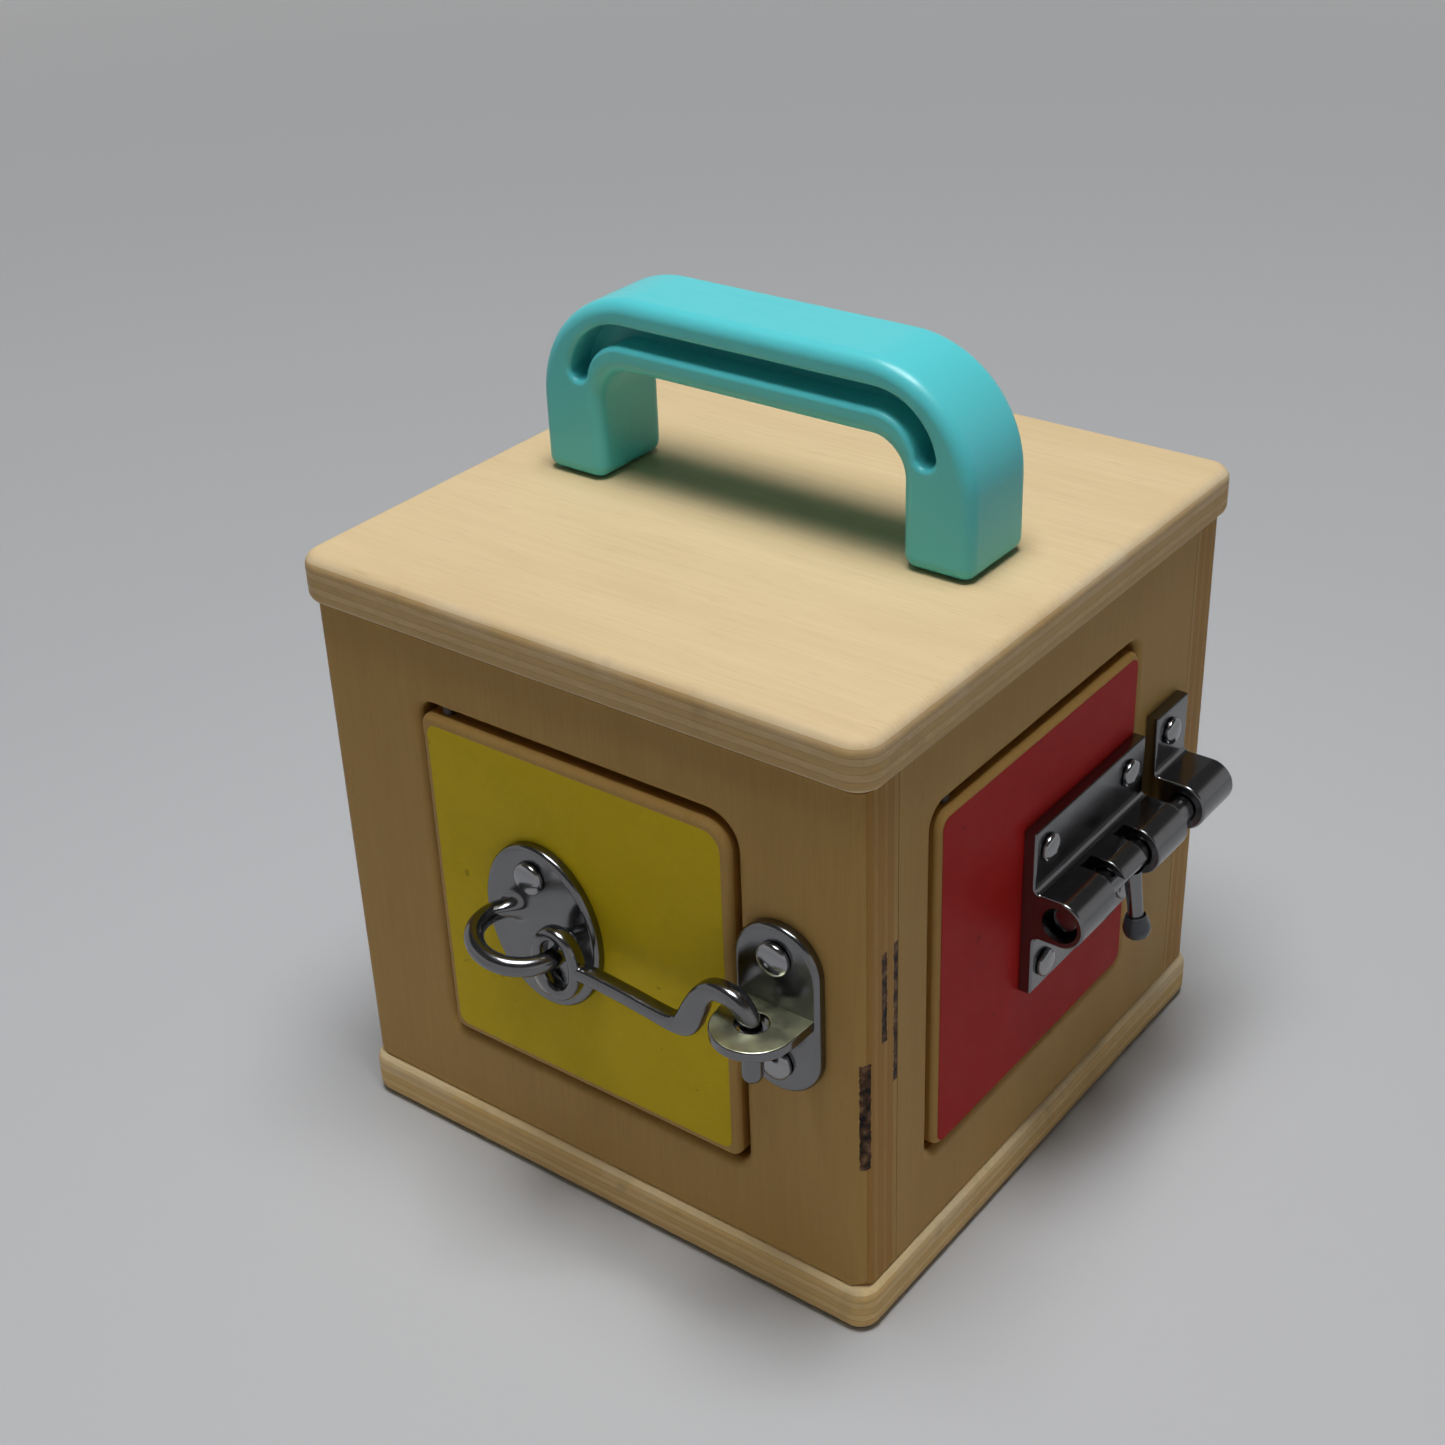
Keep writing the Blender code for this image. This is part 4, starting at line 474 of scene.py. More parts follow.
COAT_INSET = {
    "front": (2.0 * MM, 2.1 * MM, 2.1 * MM, 2.3 * MM),
    "right": (1.1 * MM, 1.0 * MM, 0.9 * MM, 1.3 * MM),
    "back": (1.8 * MM,) * 4,
    "left": (1.8 * MM,) * 4,
}
COAT_COLOUR = {
    "front": (0.700, 0.505, 0.011),
    "right": (0.460, 0.012, 0.009),
    "back": (0.030, 0.260, 0.060),
    "left": (0.015, 0.110, 0.360),
}
# Noises of the paint, how each shows, and how dark or light it turns the colour.
PAINT_BLOTCHES, PAINT_BLOTCH_SHOW, BLOTCH_SHADE = (45, 4, 0.6), [(0.35, 0.0), (0.70, 0.55)], 0.86
PAINT_MOTTLE, PAINT_MOTTLE_SHOW, MOTTLE_SHADE = (420, 3, 0.6), [(0.40, 0.0), (0.75, 0.35)], 1.10
PAINT_SPECKS, PAINT_SPECK_SHOW, SPECK_SHADE = (260, 1, 0.4), [(0.765, 0.0), (0.79, 0.6)], 0.45
PAINT_ROUGHNESS = [(0.3, 0.38), (0.7, 0.50)]
PAINT_SHINE = 0.08
PAINT_DEPTH = 0.05 * MM


def door_paint(side):
    """Satin water-based paint, rolled on, with faint blotches and a few specks."""
    colour = COAT_COLOUR[side]
    look, tree, shader = start_look(side + "_paint", 0.38, colour=colour)
    local = own_place(tree)
    blotches = noise(tree, local, *PAINT_BLOTCHES)
    mottle = noise(tree, local, *PAINT_MOTTLE)
    specks = noise(tree, local, *PAINT_SPECKS)
    tone = layer(tree, colour, blotches, PAINT_BLOTCH_SHOW, shade(colour, BLOTCH_SHADE))
    tone = layer(tree, tone, mottle, PAINT_MOTTLE_SHOW, shade(colour, MOTTLE_SHADE))
    tone = layer(tree, tone, specks, PAINT_SPECK_SHOW, shade(colour, SPECK_SHADE))
    shader.inputs["Specular IOR Level"].default_value = PAINT_SHINE
    relief = bump(tree, FINE_BUMP, PAINT_DEPTH, mottle)
    feed(tree, shader, Base_Color=tone, Roughness=ramp(tree, blotches, PAINT_ROUGHNESS), Normal=relief)
    return look


door_face = {}
for side, frame_of_side in side_frame.items():
    low, high = on_side(side, side + "_door")
    door_face[side] = high.z
    outline = rounded_rectangle(low.x, high.x, low.y, high.y, DOOR_CORNERS[side])
    skin = high.z - DOOR_FACE_SKIN
    mesh = slab(side + "_door_block", [outline], high.z - low.z, low.z)
    round_over(mesh, DOOR_EDGE_ROUND, lambda co: co.z > skin)
    # The door's bare edges take the darkened birch: painted shade.
    look = birch_ply(side + "_door_birch", low.z, high.z - low.z, SHADED_BIRCH, "Y", 11.0 + len(side))
    put(side + "_door_block", mesh, look, BODY_OF_DOOR[side], frame_of_side, [side + "_door"])
    left, right, bottom, top = COAT_INSET[side]
    coat = rounded_rectangle(low.x + left, high.x - right, low.y + bottom, high.y - top, COAT_CORNERS[side])
    mesh = slab(side + "_coat", [coat], COAT_THICKNESS, high.z)
    put(side + "_coat", mesh, door_paint(side), BODY_OF_DOOR[side], frame_of_side)


# PIVOT PINS
# Plain steel pins pressed into the boards above and below each door. Only their middles can be seen,
# in the gap round the door.
PIN_STEEL = (0.10, 0.09, 0.08)
# Noises of handled metal, a haze and fine scores that run two ways, and how each shows.
HAZE, HAZE_SHOW = (130, 3, 0.55), [(0.35, 0.0), (0.75, 0.5)]
SCORES, SCORE_SHOW = (240, 2, 0.5, (1, 14, 3)), [(0.60, 0.0), (0.72, 1.0)]
CROSS_SCORES, CROSS_SHOW = (200, 2, 0.5, (12, 1, 4)), [(0.64, 0.0), (0.74, 1.0)]
SCORE_SHARE = 0.5
CROSS_SHARE = 0.3
HAZE_SHADE = 0.82
DULLING = 0.10
SHINIEST = -0.05
METAL_BUMP = 0.02
SCORE_DEPTH = 0.03 * MM


def bright_metal(name, tone, roughness):
    """Polished metal with fine scratches and a slight haze from handling."""
    look, tree, shader = start_look(name, roughness, 1.0, tone)
    local = own_place(tree)
    haze = noise(tree, local, *HAZE)
    scores = noise(tree, local, *SCORES)
    cross = noise(tree, local, *CROSS_SCORES)
    scored = maths(tree, "MULTIPLY", ramp(tree, scores, SCORE_SHOW), SCORE_SHARE)
    crossed = maths(tree, "MULTIPLY", ramp(tree, cross, CROSS_SHOW), CROSS_SHARE)
    dulled = maths(tree, "MULTIPLY", maths(tree, "ADD", scored, crossed), DULLING)
    dulled = maths(tree, "ADD", maths(tree, "MULTIPLY", haze, DULLING), dulled)
    dulled = maths(tree, "ADD", dulled, roughness + SHINIEST)
    hazy = layer(tree, tone, haze, HAZE_SHOW, shade(tone, HAZE_SHADE))
    feed(tree, shader, Base_Color=hazy, Roughness=dulled, Normal=bump(tree, METAL_BUMP, SCORE_DEPTH, scores))
    return look


pin_finish = bright_metal("pin_steel_finish", PIN_STEEL, 0.5)
for name, node in frame["nodes"].items():
    if name.endswith("_pin"):
        node.data.materials.clear()
        node.data.materials.append(pin_finish)


# CARRYING HANDLE
# One injection moulding in turquoise plastic, an arch cored out by a blind slot along each face to
# keep the walls even. Two screws through the lid hold its legs.
HANDLE_LEG = 17.2 * MM
HANDLE_BAR = 17.0 * MM
HANDLE_OUTER_CORNER = 27.0 * MM
HANDLE_INNER_CORNER = 8.0 * MM
HANDLE_EDGE_ROUND = 3.2 * MM
SLOT_HALF_WIDTH = 2.5 * MM
SLOT_DEPTH = 8.0 * MM
SLOT_LIP = 1.2 * MM
SLOT_LIP_STEPS = 6
SLOT_LINE_BELOW_TOP = 8.5 * MM
SLOT_LINE_FROM_END = 11.3 * MM
SLOT_LINE_BEND = 13.0 * MM
SLOT_END_BELOW_TOP = 18.8 * MM
SLIVER = 0.004 * MM
CRUMB = 0.003 * MM
TURQUOISE = (0.100, 0.620, 0.660)
# Noises of the plastic: clouds in its colour, a satin grain, and scuffs along the bar.
CLOUDS, CLOUD_SHOW = (40, 3, 0.5), [(0.3, 0.0), (0.75, 0.5)]
SATIN, SATIN_RELIEF = (2600, 2, 0.5), 0.5
SCUFFS, SCUFF_RELIEF = (60, 3, 0.6, (1, 12, 12)), 0.5
PLASTIC_ROUGHNESS = [(0.35, 0.30), (0.70, 0.42)]
CLOUD_SHADE = 0.93
SATIN_DEPTH = 0.04 * MM


def ribbon(line, half_width, steps=16):
    """The outline of a flat bar that follows a line, with both ends half-round."""
    line = [np.array(p) for p in line]
    ahead = [line[min(n + 1, len(line) - 1)] - line[max(n - 1, 0)] for n in range(len(line))]
    normals = [np.array((-a[1], a[0])) / np.hypot(*a) for a in ahead]
    left = [tuple(p + n * half_width) for p, n in zip(line, normals)]
    right = [tuple(p - n * half_width) for p, n in zip(line, normals)]
    far = math.atan2(normals[-1][1], normals[-1][0])
    near = math.atan2(-normals[0][1], -normals[0][0])
    return (
        left + arc(*line[-1], half_width, far, far - HALF_TURN, steps)[1:-1]
        + right[::-1] + arc(*line[0], half_width, near, near - HALF_TURN, steps)[1:-1]
    )


def loft(name, rings, closed=False, lid=True):
    """A skin through rings of points, which closes on itself or has a floor and, if asked, a lid."""
    mesh = bpy.data.meshes.new(name)
    shape = bmesh.new()
    loops = [[shape.verts.new(p) for p in ring] for ring in rings]
    for lower, upper in zip(loops, loops[1:] + loops[:1] if closed else loops[1:]):
        for n in range(len(lower)):
            m = (n + 1) % len(lower)
            shape.faces.new((lower[n], lower[m], upper[m], upper[n]))
    if not closed:
        shape.faces.new(loops[0])
    if lid and not closed:
        shape.faces.new(loops[-1])
    bmesh.ops.recalc_face_normals(shape, faces=shape.faces)
    shape.to_mesh(mesh)
    shape.free()
    return mesh


def closed_up(mesh):
    """Welds the slivers that a cut leaves and closes any pinhole."""
    shape = bmesh.new()
    shape.from_mesh(mesh)
    bmesh.ops.remove_doubles(shape, verts=shape.verts, dist=SLIVER)
    bmesh.ops.dissolve_degenerate(shape, dist=CRUMB, edges=shape.edges)
    bmesh.ops.holes_fill(shape, edges=[edge for edge in shape.edges if edge.is_boundary])
    bmesh.ops.recalc_face_normals(shape, faces=shape.faces)
    shape.to_mesh(mesh)
    shape.free()
    return mesh


def worked(mesh, tools):
    """The mesh after a row of modifiers, each given as its kind and its settings."""
    holder = linked(mesh.name, mesh)
    for kind, settings in tools:
        tool = holder.modifiers.new(kind.lower(), kind)
        for key, value in settings.items():
            setattr(tool, key, value)
    return finished_mesh(holder)


def combine(mesh, others, operation="DIFFERENCE"):
    """The mesh with others cut out of it or joined to it."""
    helpers = [linked(other.name, other) for other in others]
    cuts = [("BOOLEAN", {"operation": operation, "solver": "EXACT", "object": helper}) for helper in helpers]
    made = worked(mesh, cuts)
    for helper in helpers:
        bpy.data.objects.remove(helper)
    made.name = mesh.name
    return closed_up(made)


def moulded_plastic(name, colour):
    """Glossy moulding with a fine satin texture and light scuffs along it."""
    look, tree, shader = start_look(name, 0.34, colour=colour)
    local = own_place(tree)
    clouds = noise(tree, local, *CLOUDS)
    satin = noise(tree, local, *SATIN)
    scuffs = noise(tree, local, *SCUFFS)
    cloudy = layer(tree, colour, clouds, CLOUD_SHOW, shade(colour, CLOUD_SHADE))
    scuffed = maths(tree, "MULTIPLY", scuffs, SCUFF_RELIEF)
    surface = maths(tree, "ADD", maths(tree, "MULTIPLY", satin, SATIN_RELIEF), scuffed)
    relief = bump(tree, FINE_BUMP, SATIN_DEPTH, surface)
    feed(tree, shader, Base_Color=cloudy, Roughness=ramp(tree, scuffs, PLASTIC_ROUGHNESS), Normal=relief)
    return look


low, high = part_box("handle")
half_span = (high.x - low.x) / 2
height = high.z - low.z
thickness = high.y - low.y
outer_bend = half_span - HANDLE_OUTER_CORNER
inner_half = half_span - HANDLE_LEG
inner_bend = inner_half - HANDLE_INNER_CORNER
outer_spring = height - HANDLE_OUTER_CORNER
inner_spring = height - HANDLE_BAR - HANDLE_INNER_CORNER
arch = (
    [(half_span, 0)]
    + arc(outer_bend, outer_spring, HANDLE_OUTER_CORNER, 0, QUARTER, 22)
    + arc(-outer_bend, outer_spring, HANDLE_OUTER_CORNER, QUARTER, HALF_TURN, 22)
    + [(-half_span, 0), (-inner_half, 0)]
    + arc(-inner_bend, inner_spring, HANDLE_INNER_CORNER, HALF_TURN, QUARTER, 12)
    + arc(inner_bend, inner_spring, HANDLE_INNER_CORNER, QUARTER, 0, 12)
    + [(inner_half, 0)]
)
handle_mesh = slab("handle_moulding", [arch], thickness, -thickness / 2)
round_over(handle_mesh, HANDLE_EDGE_ROUND, steps=7)
slot_centre = height - SLOT_LINE_BELOW_TOP - SLOT_LINE_BEND
bend_u = half_span - SLOT_LINE_FROM_END - SLOT_LINE_BEND
slot_turn = math.asin((height - SLOT_END_BELOW_TOP - slot_centre) / SLOT_LINE_BEND)
slot_line = arc(-bend_u, slot_centre, SLOT_LINE_BEND, HALF_TURN - slot_turn, QUARTER, 18)
slot_line += arc(bend_u, slot_centre, SLOT_LINE_BEND, QUARTER, slot_turn, 18)
levels = [(SLOT_HALF_WIDTH, thickness / 2 - SLOT_DEPTH)]
for n in range(SLOT_LIP_STEPS + 1):
    angle = QUARTER * n / SLOT_LIP_STEPS
    half = SLOT_HALF_WIDTH + SLOT_LIP * (1 - math.cos(angle))
    levels.append((half, thickness / 2 - SLOT_LIP * (1 - math.sin(angle))))
levels.append((SLOT_HALF_WIDTH + SLOT_LIP, thickness / 2 + SLOT_LIP))
slots = [
    loft("handle_slot", [[(u, v, w * sign) for u, v in ribbon(slot_line, half)] for half, w in levels])
    for sign in (1, -1)
]
stood_up = Matrix.Rotation(QUARTER, 4, "X")
handle_place = Matrix.Translation(((low.x + high.x) / 2, (low.y + high.y) / 2, low.z)) @ stood_up
handle_finish = moulded_plastic("turquoise_plastic", TURQUOISE)
put("handle_moulding", combine(handle_mesh, slots), handle_finish, "box", handle_place, ["handle"])


# SCREWS
# Small plated screws with plain domed heads, one dome for each hole of the fittings.
# The shanks are hidden in the wood.
DOME_STEPS = 10
DOME_SHARE = 0.54
DOME_BULGE = 0.8
HEAD_EDGE_SHARE = 0.2
HEAD_CHAMFER = 0.97
SHANK_SHARE = 0.43
POINT_LENGTH = 2.0 * MM
POINT_RADIUS = 0.3 * MM
DOME_MIDDLE = 0.02 * MM
# Darkened like the plating, so that what the screw heads mirror comes out dark: painted shade in their
# reflections.
SHADED_SCREW_TONE = (0.34, 0.34, 0.35)
SIDE_OF_FITTING = {
    "hook": "front", "eye": "front", "bolt": "right", "keeper": "right",
    "hasp": "back", "staple": "back", "button": "left",
}
screw_finish = bright_metal("screw_plating", SHADED_SCREW_TONE, 0.17)


def circle(radius, cu=0.0, cv=0.0, steps=40):
    """Points of a full circle about (cu, cv)."""
    angles = [TURN * n / steps for n in range(steps)]
    return [(cu + radius * math.cos(angle), cv + radius * math.sin(angle)) for angle in angles]


def turned(name, profile, steps=40):
    """A profile in x and z turned round Z, given from the top down."""
    return loft(name, [[(u, v, z) for u, v in circle(x, steps=steps)] for x, z in profile])


for name in list(frame["nodes"]):
    if "_screw_" not in name:
        continue
    low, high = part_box(name)
    size = high - low
    way = max(range(3), key=lambda n: size[n])
    radius = size[(way + 1) % 3] / 2
    direction = Vector((0, 0, -1))
    if not name.startswith("handle"):
        direction = side_frame[SIDE_OF_FITTING[name.split("_")[0]]].to_3x3() @ Vector((0, 0, 1))
    dome_height = radius * DOME_SHARE
    profile = [(DOME_MIDDLE, 0)]
    for n in range(1, DOME_STEPS + 1):
        angle = QUARTER * n / DOME_STEPS
        drop = dome_height * (1 - HEAD_EDGE_SHARE) * (math.cos(angle) ** DOME_BULGE - 1)
        profile.append((radius * math.sin(angle), drop))
    profile += [
        (radius, -dome_height * HEAD_CHAMFER), (radius * HEAD_CHAMFER, -dome_height),
        (radius * SHANK_SHARE, -dome_height), (radius * SHANK_SHARE, -size[way] + POINT_LENGTH),
        (POINT_RADIUS, -size[way]),
    ]
    top = (low + high) / 2 + direction * (size[way] / 2)
    place = Matrix.Translation(top) @ direction.to_track_quat("Z", "Y").to_matrix().to_4x4()
    body = next(b for b, nodes in frame["record"]["behaviour"]["bodies"].items() if name in nodes)
    screw_mesh = turned(name + "_turned", profile)
    put(name + "_turned", screw_mesh, screw_finish, body, place, [name])


# HOOK PLATE
# A plated zinc casting on the yellow door: an oval plate with a soft rim, leaning a little to the left,
# and a round-wire ring that stands out level from it. The ring flares into the plate at its roots, and
# the left root runs out in a short ridge.
# The plating's tone is set darker than bright zinc plating, so that what it mirrors comes out dark: painted
# shade in its reflections.
SHADED_PLATING = (0.205, 0.205, 0.211)
PLATE_THICKNESS = 2.5 * MM
PLATE_EDGE_ROUND = 1.3 * MM
HOOK_PLATE_HALF_WIDTH = 15.8 * MM
HOOK_PLATE_HALF_HEIGHT = 20.3 * MM
HOOK_PLATE_PLACE = (-9.3 * MM, 76.4 * MM)
HOOK_PLATE_TILT = math.radians(7)
FITTING_GAP = 0.2 * MM
RING_PLACE = (-9.3 * MM, 78.0 * MM)
RING_RADIUS = 9.9 * MM
RING_WIRE = 2.2 * MM
RING_HALF_CHORD = 7.6 * MM
RING_TILT = math.radians(-8)
RING_SINK = 1.6 * MM
RING_STEPS = 96
# For each root: its name, its side, how far it climbs the wire, how far it spreads, and its ridge.
RING_ROOTS = [("left", -1, 2.5 * MM, 1.7 * MM, 1.5), ("right", 1, 0.9 * MM, 0.6 * MM, 0)]
RIDGE_WAY = Vector((0.80, 0.60, 0))
ROOT_SINK = 0.3 * MM
ROOT_STEPS = 10
ROOT_SIDES = 48
plated = bright_metal("plated_zinc", SHADED_PLATING, 0.19)


def wire(name, points, radius):
    """Round wire along a line of points."""
    curve = bpy.data.curves.new(name, "CURVE")
    curve.dimensions = "3D"
    curve.bevel_depth = radius
    curve.bevel_resolution = 6
    curve.use_fill_caps = True
    spline = curve.splines.new("POLY")
    spline.points.add(len(points) - 1)
    for point, place in zip(spline.points, points):
        point.co = (*place, 1)
    return mesh_of_curve(curve)


door_out = door_face["front"] + FITTING_GAP
plate_top = door_out + PLATE_THICKNESS
stretch = HOOK_PLATE_HALF_HEIGHT / HOOK_PLATE_HALF_WIDTH
oval = [(u, v * stretch) for u, v in circle(HOOK_PLATE_HALF_WIDTH, steps=72)]
plate_mesh = slab("hook_plate_casting", [oval], PLATE_THICKNESS, door_out)
round_over(plate_mesh, PLATE_EDGE_ROUND, lambda co: co.z > plate_top - FITTING_GAP)
lean = Matrix.Rotation(HOOK_PLATE_TILT, 4, "Z")
plate_place = side_frame["front"] @ Matrix.Translation((*HOOK_PLATE_PLACE, 0)) @ lean
put("hook_plate_casting", plate_mesh, plated, "yellow_door", plate_place, ["hook_plate"])

ring_out = plate_top + math.sqrt(RING_RADIUS**2 - RING_HALF_CHORD**2)
ring_sweep = HALF_TURN - math.asin(RING_HALF_CHORD / RING_RADIUS) + RING_SINK / RING_RADIUS
points = []
for n in range(RING_STEPS + 1):
    angle = -ring_sweep + 2 * ring_sweep * n / RING_STEPS
    points.append((RING_RADIUS * math.sin(angle), 0, ring_out + RING_RADIUS * math.cos(angle)))
lean = Matrix.Rotation(RING_TILT, 4, "Z")
ring_place = side_frame["front"] @ Matrix.Translation((*RING_PLACE, 0)) @ lean
put("hook_ring", wire("hook_ring", points, RING_WIRE), plated, "yellow_door", ring_place)


def ring_surface(side, around, angle):
    """A point on the wire's skin: around it, and at an angle round the ring from its outermost point."""
    reach = RING_RADIUS + RING_WIRE * math.cos(around)
    out = ring_out + reach * math.cos(angle)
    return Vector((side * reach * math.sin(angle), RING_WIRE * math.sin(around), out))


for name, side, rise, spread_out, ridge in RING_ROOTS:
    rings = [[] for n in range(ROOT_STEPS + 2)]
    for k in range(ROOT_SIDES):
        around = TURN * k / ROOT_SIDES
        reach = RING_RADIUS + RING_WIRE * math.cos(around)
        meets = math.acos((plate_top - ring_out) / reach)
        foot = ring_surface(side, around, meets)
        away = (foot - Vector((side * RING_HALF_CHORD, 0, plate_top))).normalized()
        more = 1 + ridge * max(0, away.dot(RIDGE_WAY)) ** 2
        top = ring_surface(side, around, meets - rise * more / reach)
        toe = foot + away * spread_out * more
        for n in range(ROOT_STEPS + 1):
            s = n / ROOT_STEPS
            rings[n].append(tuple(top * (1 - s) ** 2 + foot * (2 * s * (1 - s)) + toe * s**2))
        rings[-1].append((toe.x, toe.y, toe.z - ROOT_SINK))
    root = "hook_ring_root_" + name
    put(root, loft(root, rings), plated, "yellow_door", ring_place)


# HOOK
# A plated casting that swings on the ring: an oval eye, a bar that widens at its elbow, and a crook
# that rounds off into the tip in the shelf's hole. Eye and bar flow into each other.
HOOK_OUT = 9.8 * MM
HOOK_EYE_SHIFT = (0.5 * MM, -1.4 * MM)
HOOK_EYE_HALF_WIDTH = 5.3 * MM
HOOK_EYE_HALF_HEIGHT = 7.6 * MM
HOOK_EYE_HALF_WALL = 1.5 * MM
HOOK_EYE_SQUARENESS = 2.6
HOOK_EYE_STEPS = 72
HOOK_HALF_THICKNESS = 2.0 * MM
HOOK_TIP_RADIUS = 2.4 * MM
HOOK_SKIN_GRAIN = 0.22 * MM
HOOK_SKIN_EASE = 4
# Along the bar, in mm: u, v, half width, half thickness, and then how square its section is.
HOOK_STATIONS = [
    (6.5, -1.4, 1.6, 2.0, 3.4), (10.0, -1.2, 1.75, 2.0, 3.4), (19.4, -1.9, 1.8, 2.0, 3.4),
    (27.3, -2.8, 1.85, 2.0, 3.4), (32.4, -3.1, 2.2, 2.0, 3.4), (35.5, -1.6, 3.0, 2.0, 3.4),
    (37.6, 2.6, 2.9, 2.0, 3.4), (39.6, 6.6, 2.5, 2.04, 3.2), (42.1, 9.3, 2.25, 2.1, 3.0),
    (45.2, 10.0, 2.2, 2.2, 2.7), (48.5, 9.2, 2.25, 2.3, 2.4), (51.0, 6.4, 2.3, 2.4, 2.0),
    (51.9, 2.9, 2.4, 2.4, 2.0), (51.9, -2.1, 2.4, 2.4, 2.0), (51.8, -7.4, 2.4, 2.4, 2.0),
]


def smooth_line(points, per_span):
    """Points of a smooth curve through the given ones."""
    points = [np.array(p, float) for p in points]
    ends = [2 * points[0] - points[1], *points, 2 * points[-1] - points[-2]]
    line = []
    for n in range(1, len(ends) - 2):
        a, b, c, d = ends[n - 1 : n + 3]
        for t in np.arange(per_span) / per_span:
            bend, swing = 2 * a - 5 * b + 4 * c - d, 3 * b - a - 3 * c + d
            line.append(0.5 * (2 * b + (c - a) * t + bend * t**2 + swing * t**3))
    line.append(ends[-2])
    return line


def bar_ring(place, across, half_width, half_thickness, squareness, steps=28):
    """One ring of a bar's skin: round where squareness is 2, and more like a rectangle above that."""
    ring = []
    for n in range(steps):
        angle = TURN * (n + 0.5) / steps
        c, s = math.cos(angle), math.sin(angle)
        side = half_width * math.copysign(abs(c) ** (2 / squareness), c)
        lift = half_thickness * math.copysign(abs(s) ** (2 / squareness), s)
        ring.append((place[0] + across[0] * side, place[1] + across[1] * side, lift))
    return ring


line = smooth_line([[*(size * MM for size in sizes), square] for *sizes, square in HOOK_STATIONS], 6)
rings = []
for n, (u, v, wide, thick, square) in enumerate(line):
    ahead = line[min(n + 1, len(line) - 1)][:2] - line[max(n - 1, 0)][:2]
    ahead = ahead / np.hypot(*ahead)
    across = (-ahead[1], ahead[0])
    rings.append(bar_ring((u, v), across, wide, thick, square))
for n in range(1, 8):
    angle = QUARTER * n / 7.5
    shrink = HOOK_TIP_RADIUS * math.cos(angle)
    place = line[-1][:2] + ahead * HOOK_TIP_RADIUS * math.sin(angle)
    rings.append(bar_ring(place, across, shrink, shrink, 2))
eye_rings = []
for c, s in circle(1, steps=HOOK_EYE_STEPS):
    across = np.array((c * HOOK_EYE_HALF_HEIGHT, s * HOOK_EYE_HALF_WIDTH))
    across = across / np.hypot(*across)
    place = (HOOK_EYE_SHIFT[0] + c * HOOK_EYE_HALF_WIDTH, HOOK_EYE_SHIFT[1] + s * HOOK_EYE_HALF_HEIGHT)
    eye_rings.append(bar_ring(place, across, HOOK_EYE_HALF_WALL, HOOK_HALF_THICKNESS, HOOK_EYE_SQUARENESS))
hook_mesh = combine(loft("hook_casting", rings), [loft("hook_eye", eye_rings, closed=True)], "UNION")
one_skin = ("REMESH", {"mode": "VOXEL", "voxel_size": HOOK_SKIN_GRAIN, "use_smooth_shade": True})
hook_mesh = worked(hook_mesh, [one_skin, ("SMOOTH", {"factor": 0.5, "iterations": HOOK_SKIN_EASE})])
pivot_u = RING_PLACE[0] + RING_RADIUS * math.cos(RING_TILT)
pivot_v = RING_PLACE[1] + RING_RADIUS * math.sin(RING_TILT)
hook_place = side_frame["front"] @ Matrix.Translation((pivot_u, pivot_v, HOOK_OUT))
put("hook_casting", hook_mesh, plated, "hook", hook_place, ["hook"])


# EYE PLATE
# The hook's keeper on the frame: a casting with an upright plate, round at both ends, and a level
# half-round shelf with the hole that the hook drops into. Its top carries a painted highlight and a
# painted yellow-green reflection.
EYE_PLATE_PLACE = (53.3 * MM, 80.8 * MM)
EYE_PLATE_HALF_WIDTH = 10.35 * MM
EYE_PLATE_HALF_HEIGHT = 20.6 * MM
SHELF_WIDTH = 18.6 * MM
SHELF_THICKNESS = 2.4 * MM
SHELF_REACH = 19.4 * MM
SHELF_TOP = 82.0 * MM
SHELF_IN_PLATE = 1.0 * MM
SHELF_EDGE_ROUND = 0.5 * MM
SHELF_HOLE = 3.4 * MM
SHELF_HOLE_SHIFT = -0.6 * MM
SHELF_HOLE_OUT = 9.9 * MM
# Patches of painted highlight and painted yellow-green reflection on the shelf's top, with a duller roughness
# there.
SHEEN_DEPTH = 0.05 * MM
SHEEN_TONE = (0.62, 0.64, 0.42)
SHEEN_DULLNESS = 0.26
SHEEN_PATCHES, SHEEN_SHOW = (160, 3, 0.55), [(0.30, 0.55), (0.60, 1.0)]


def stadium(half_width, half_height, steps=20):
    """An upright outline with straight sides and half-round ends."""
    up = half_height - half_width
    return arc(0, up, half_width, 0, HALF_TURN, steps) + arc(0, -up, half_width, HALF_TURN, TURN, steps)


def round_ended_plate(name, half_width, half_height):
    """A cast plate with a soft rim that lies on the frame."""
    mesh = slab(name, [stadium(half_width, half_height)], PLATE_THICKNESS, FITTING_GAP)
    return round_over(mesh, PLATE_EDGE_ROUND, lambda co: co.z > PLATE_THICKNESS)


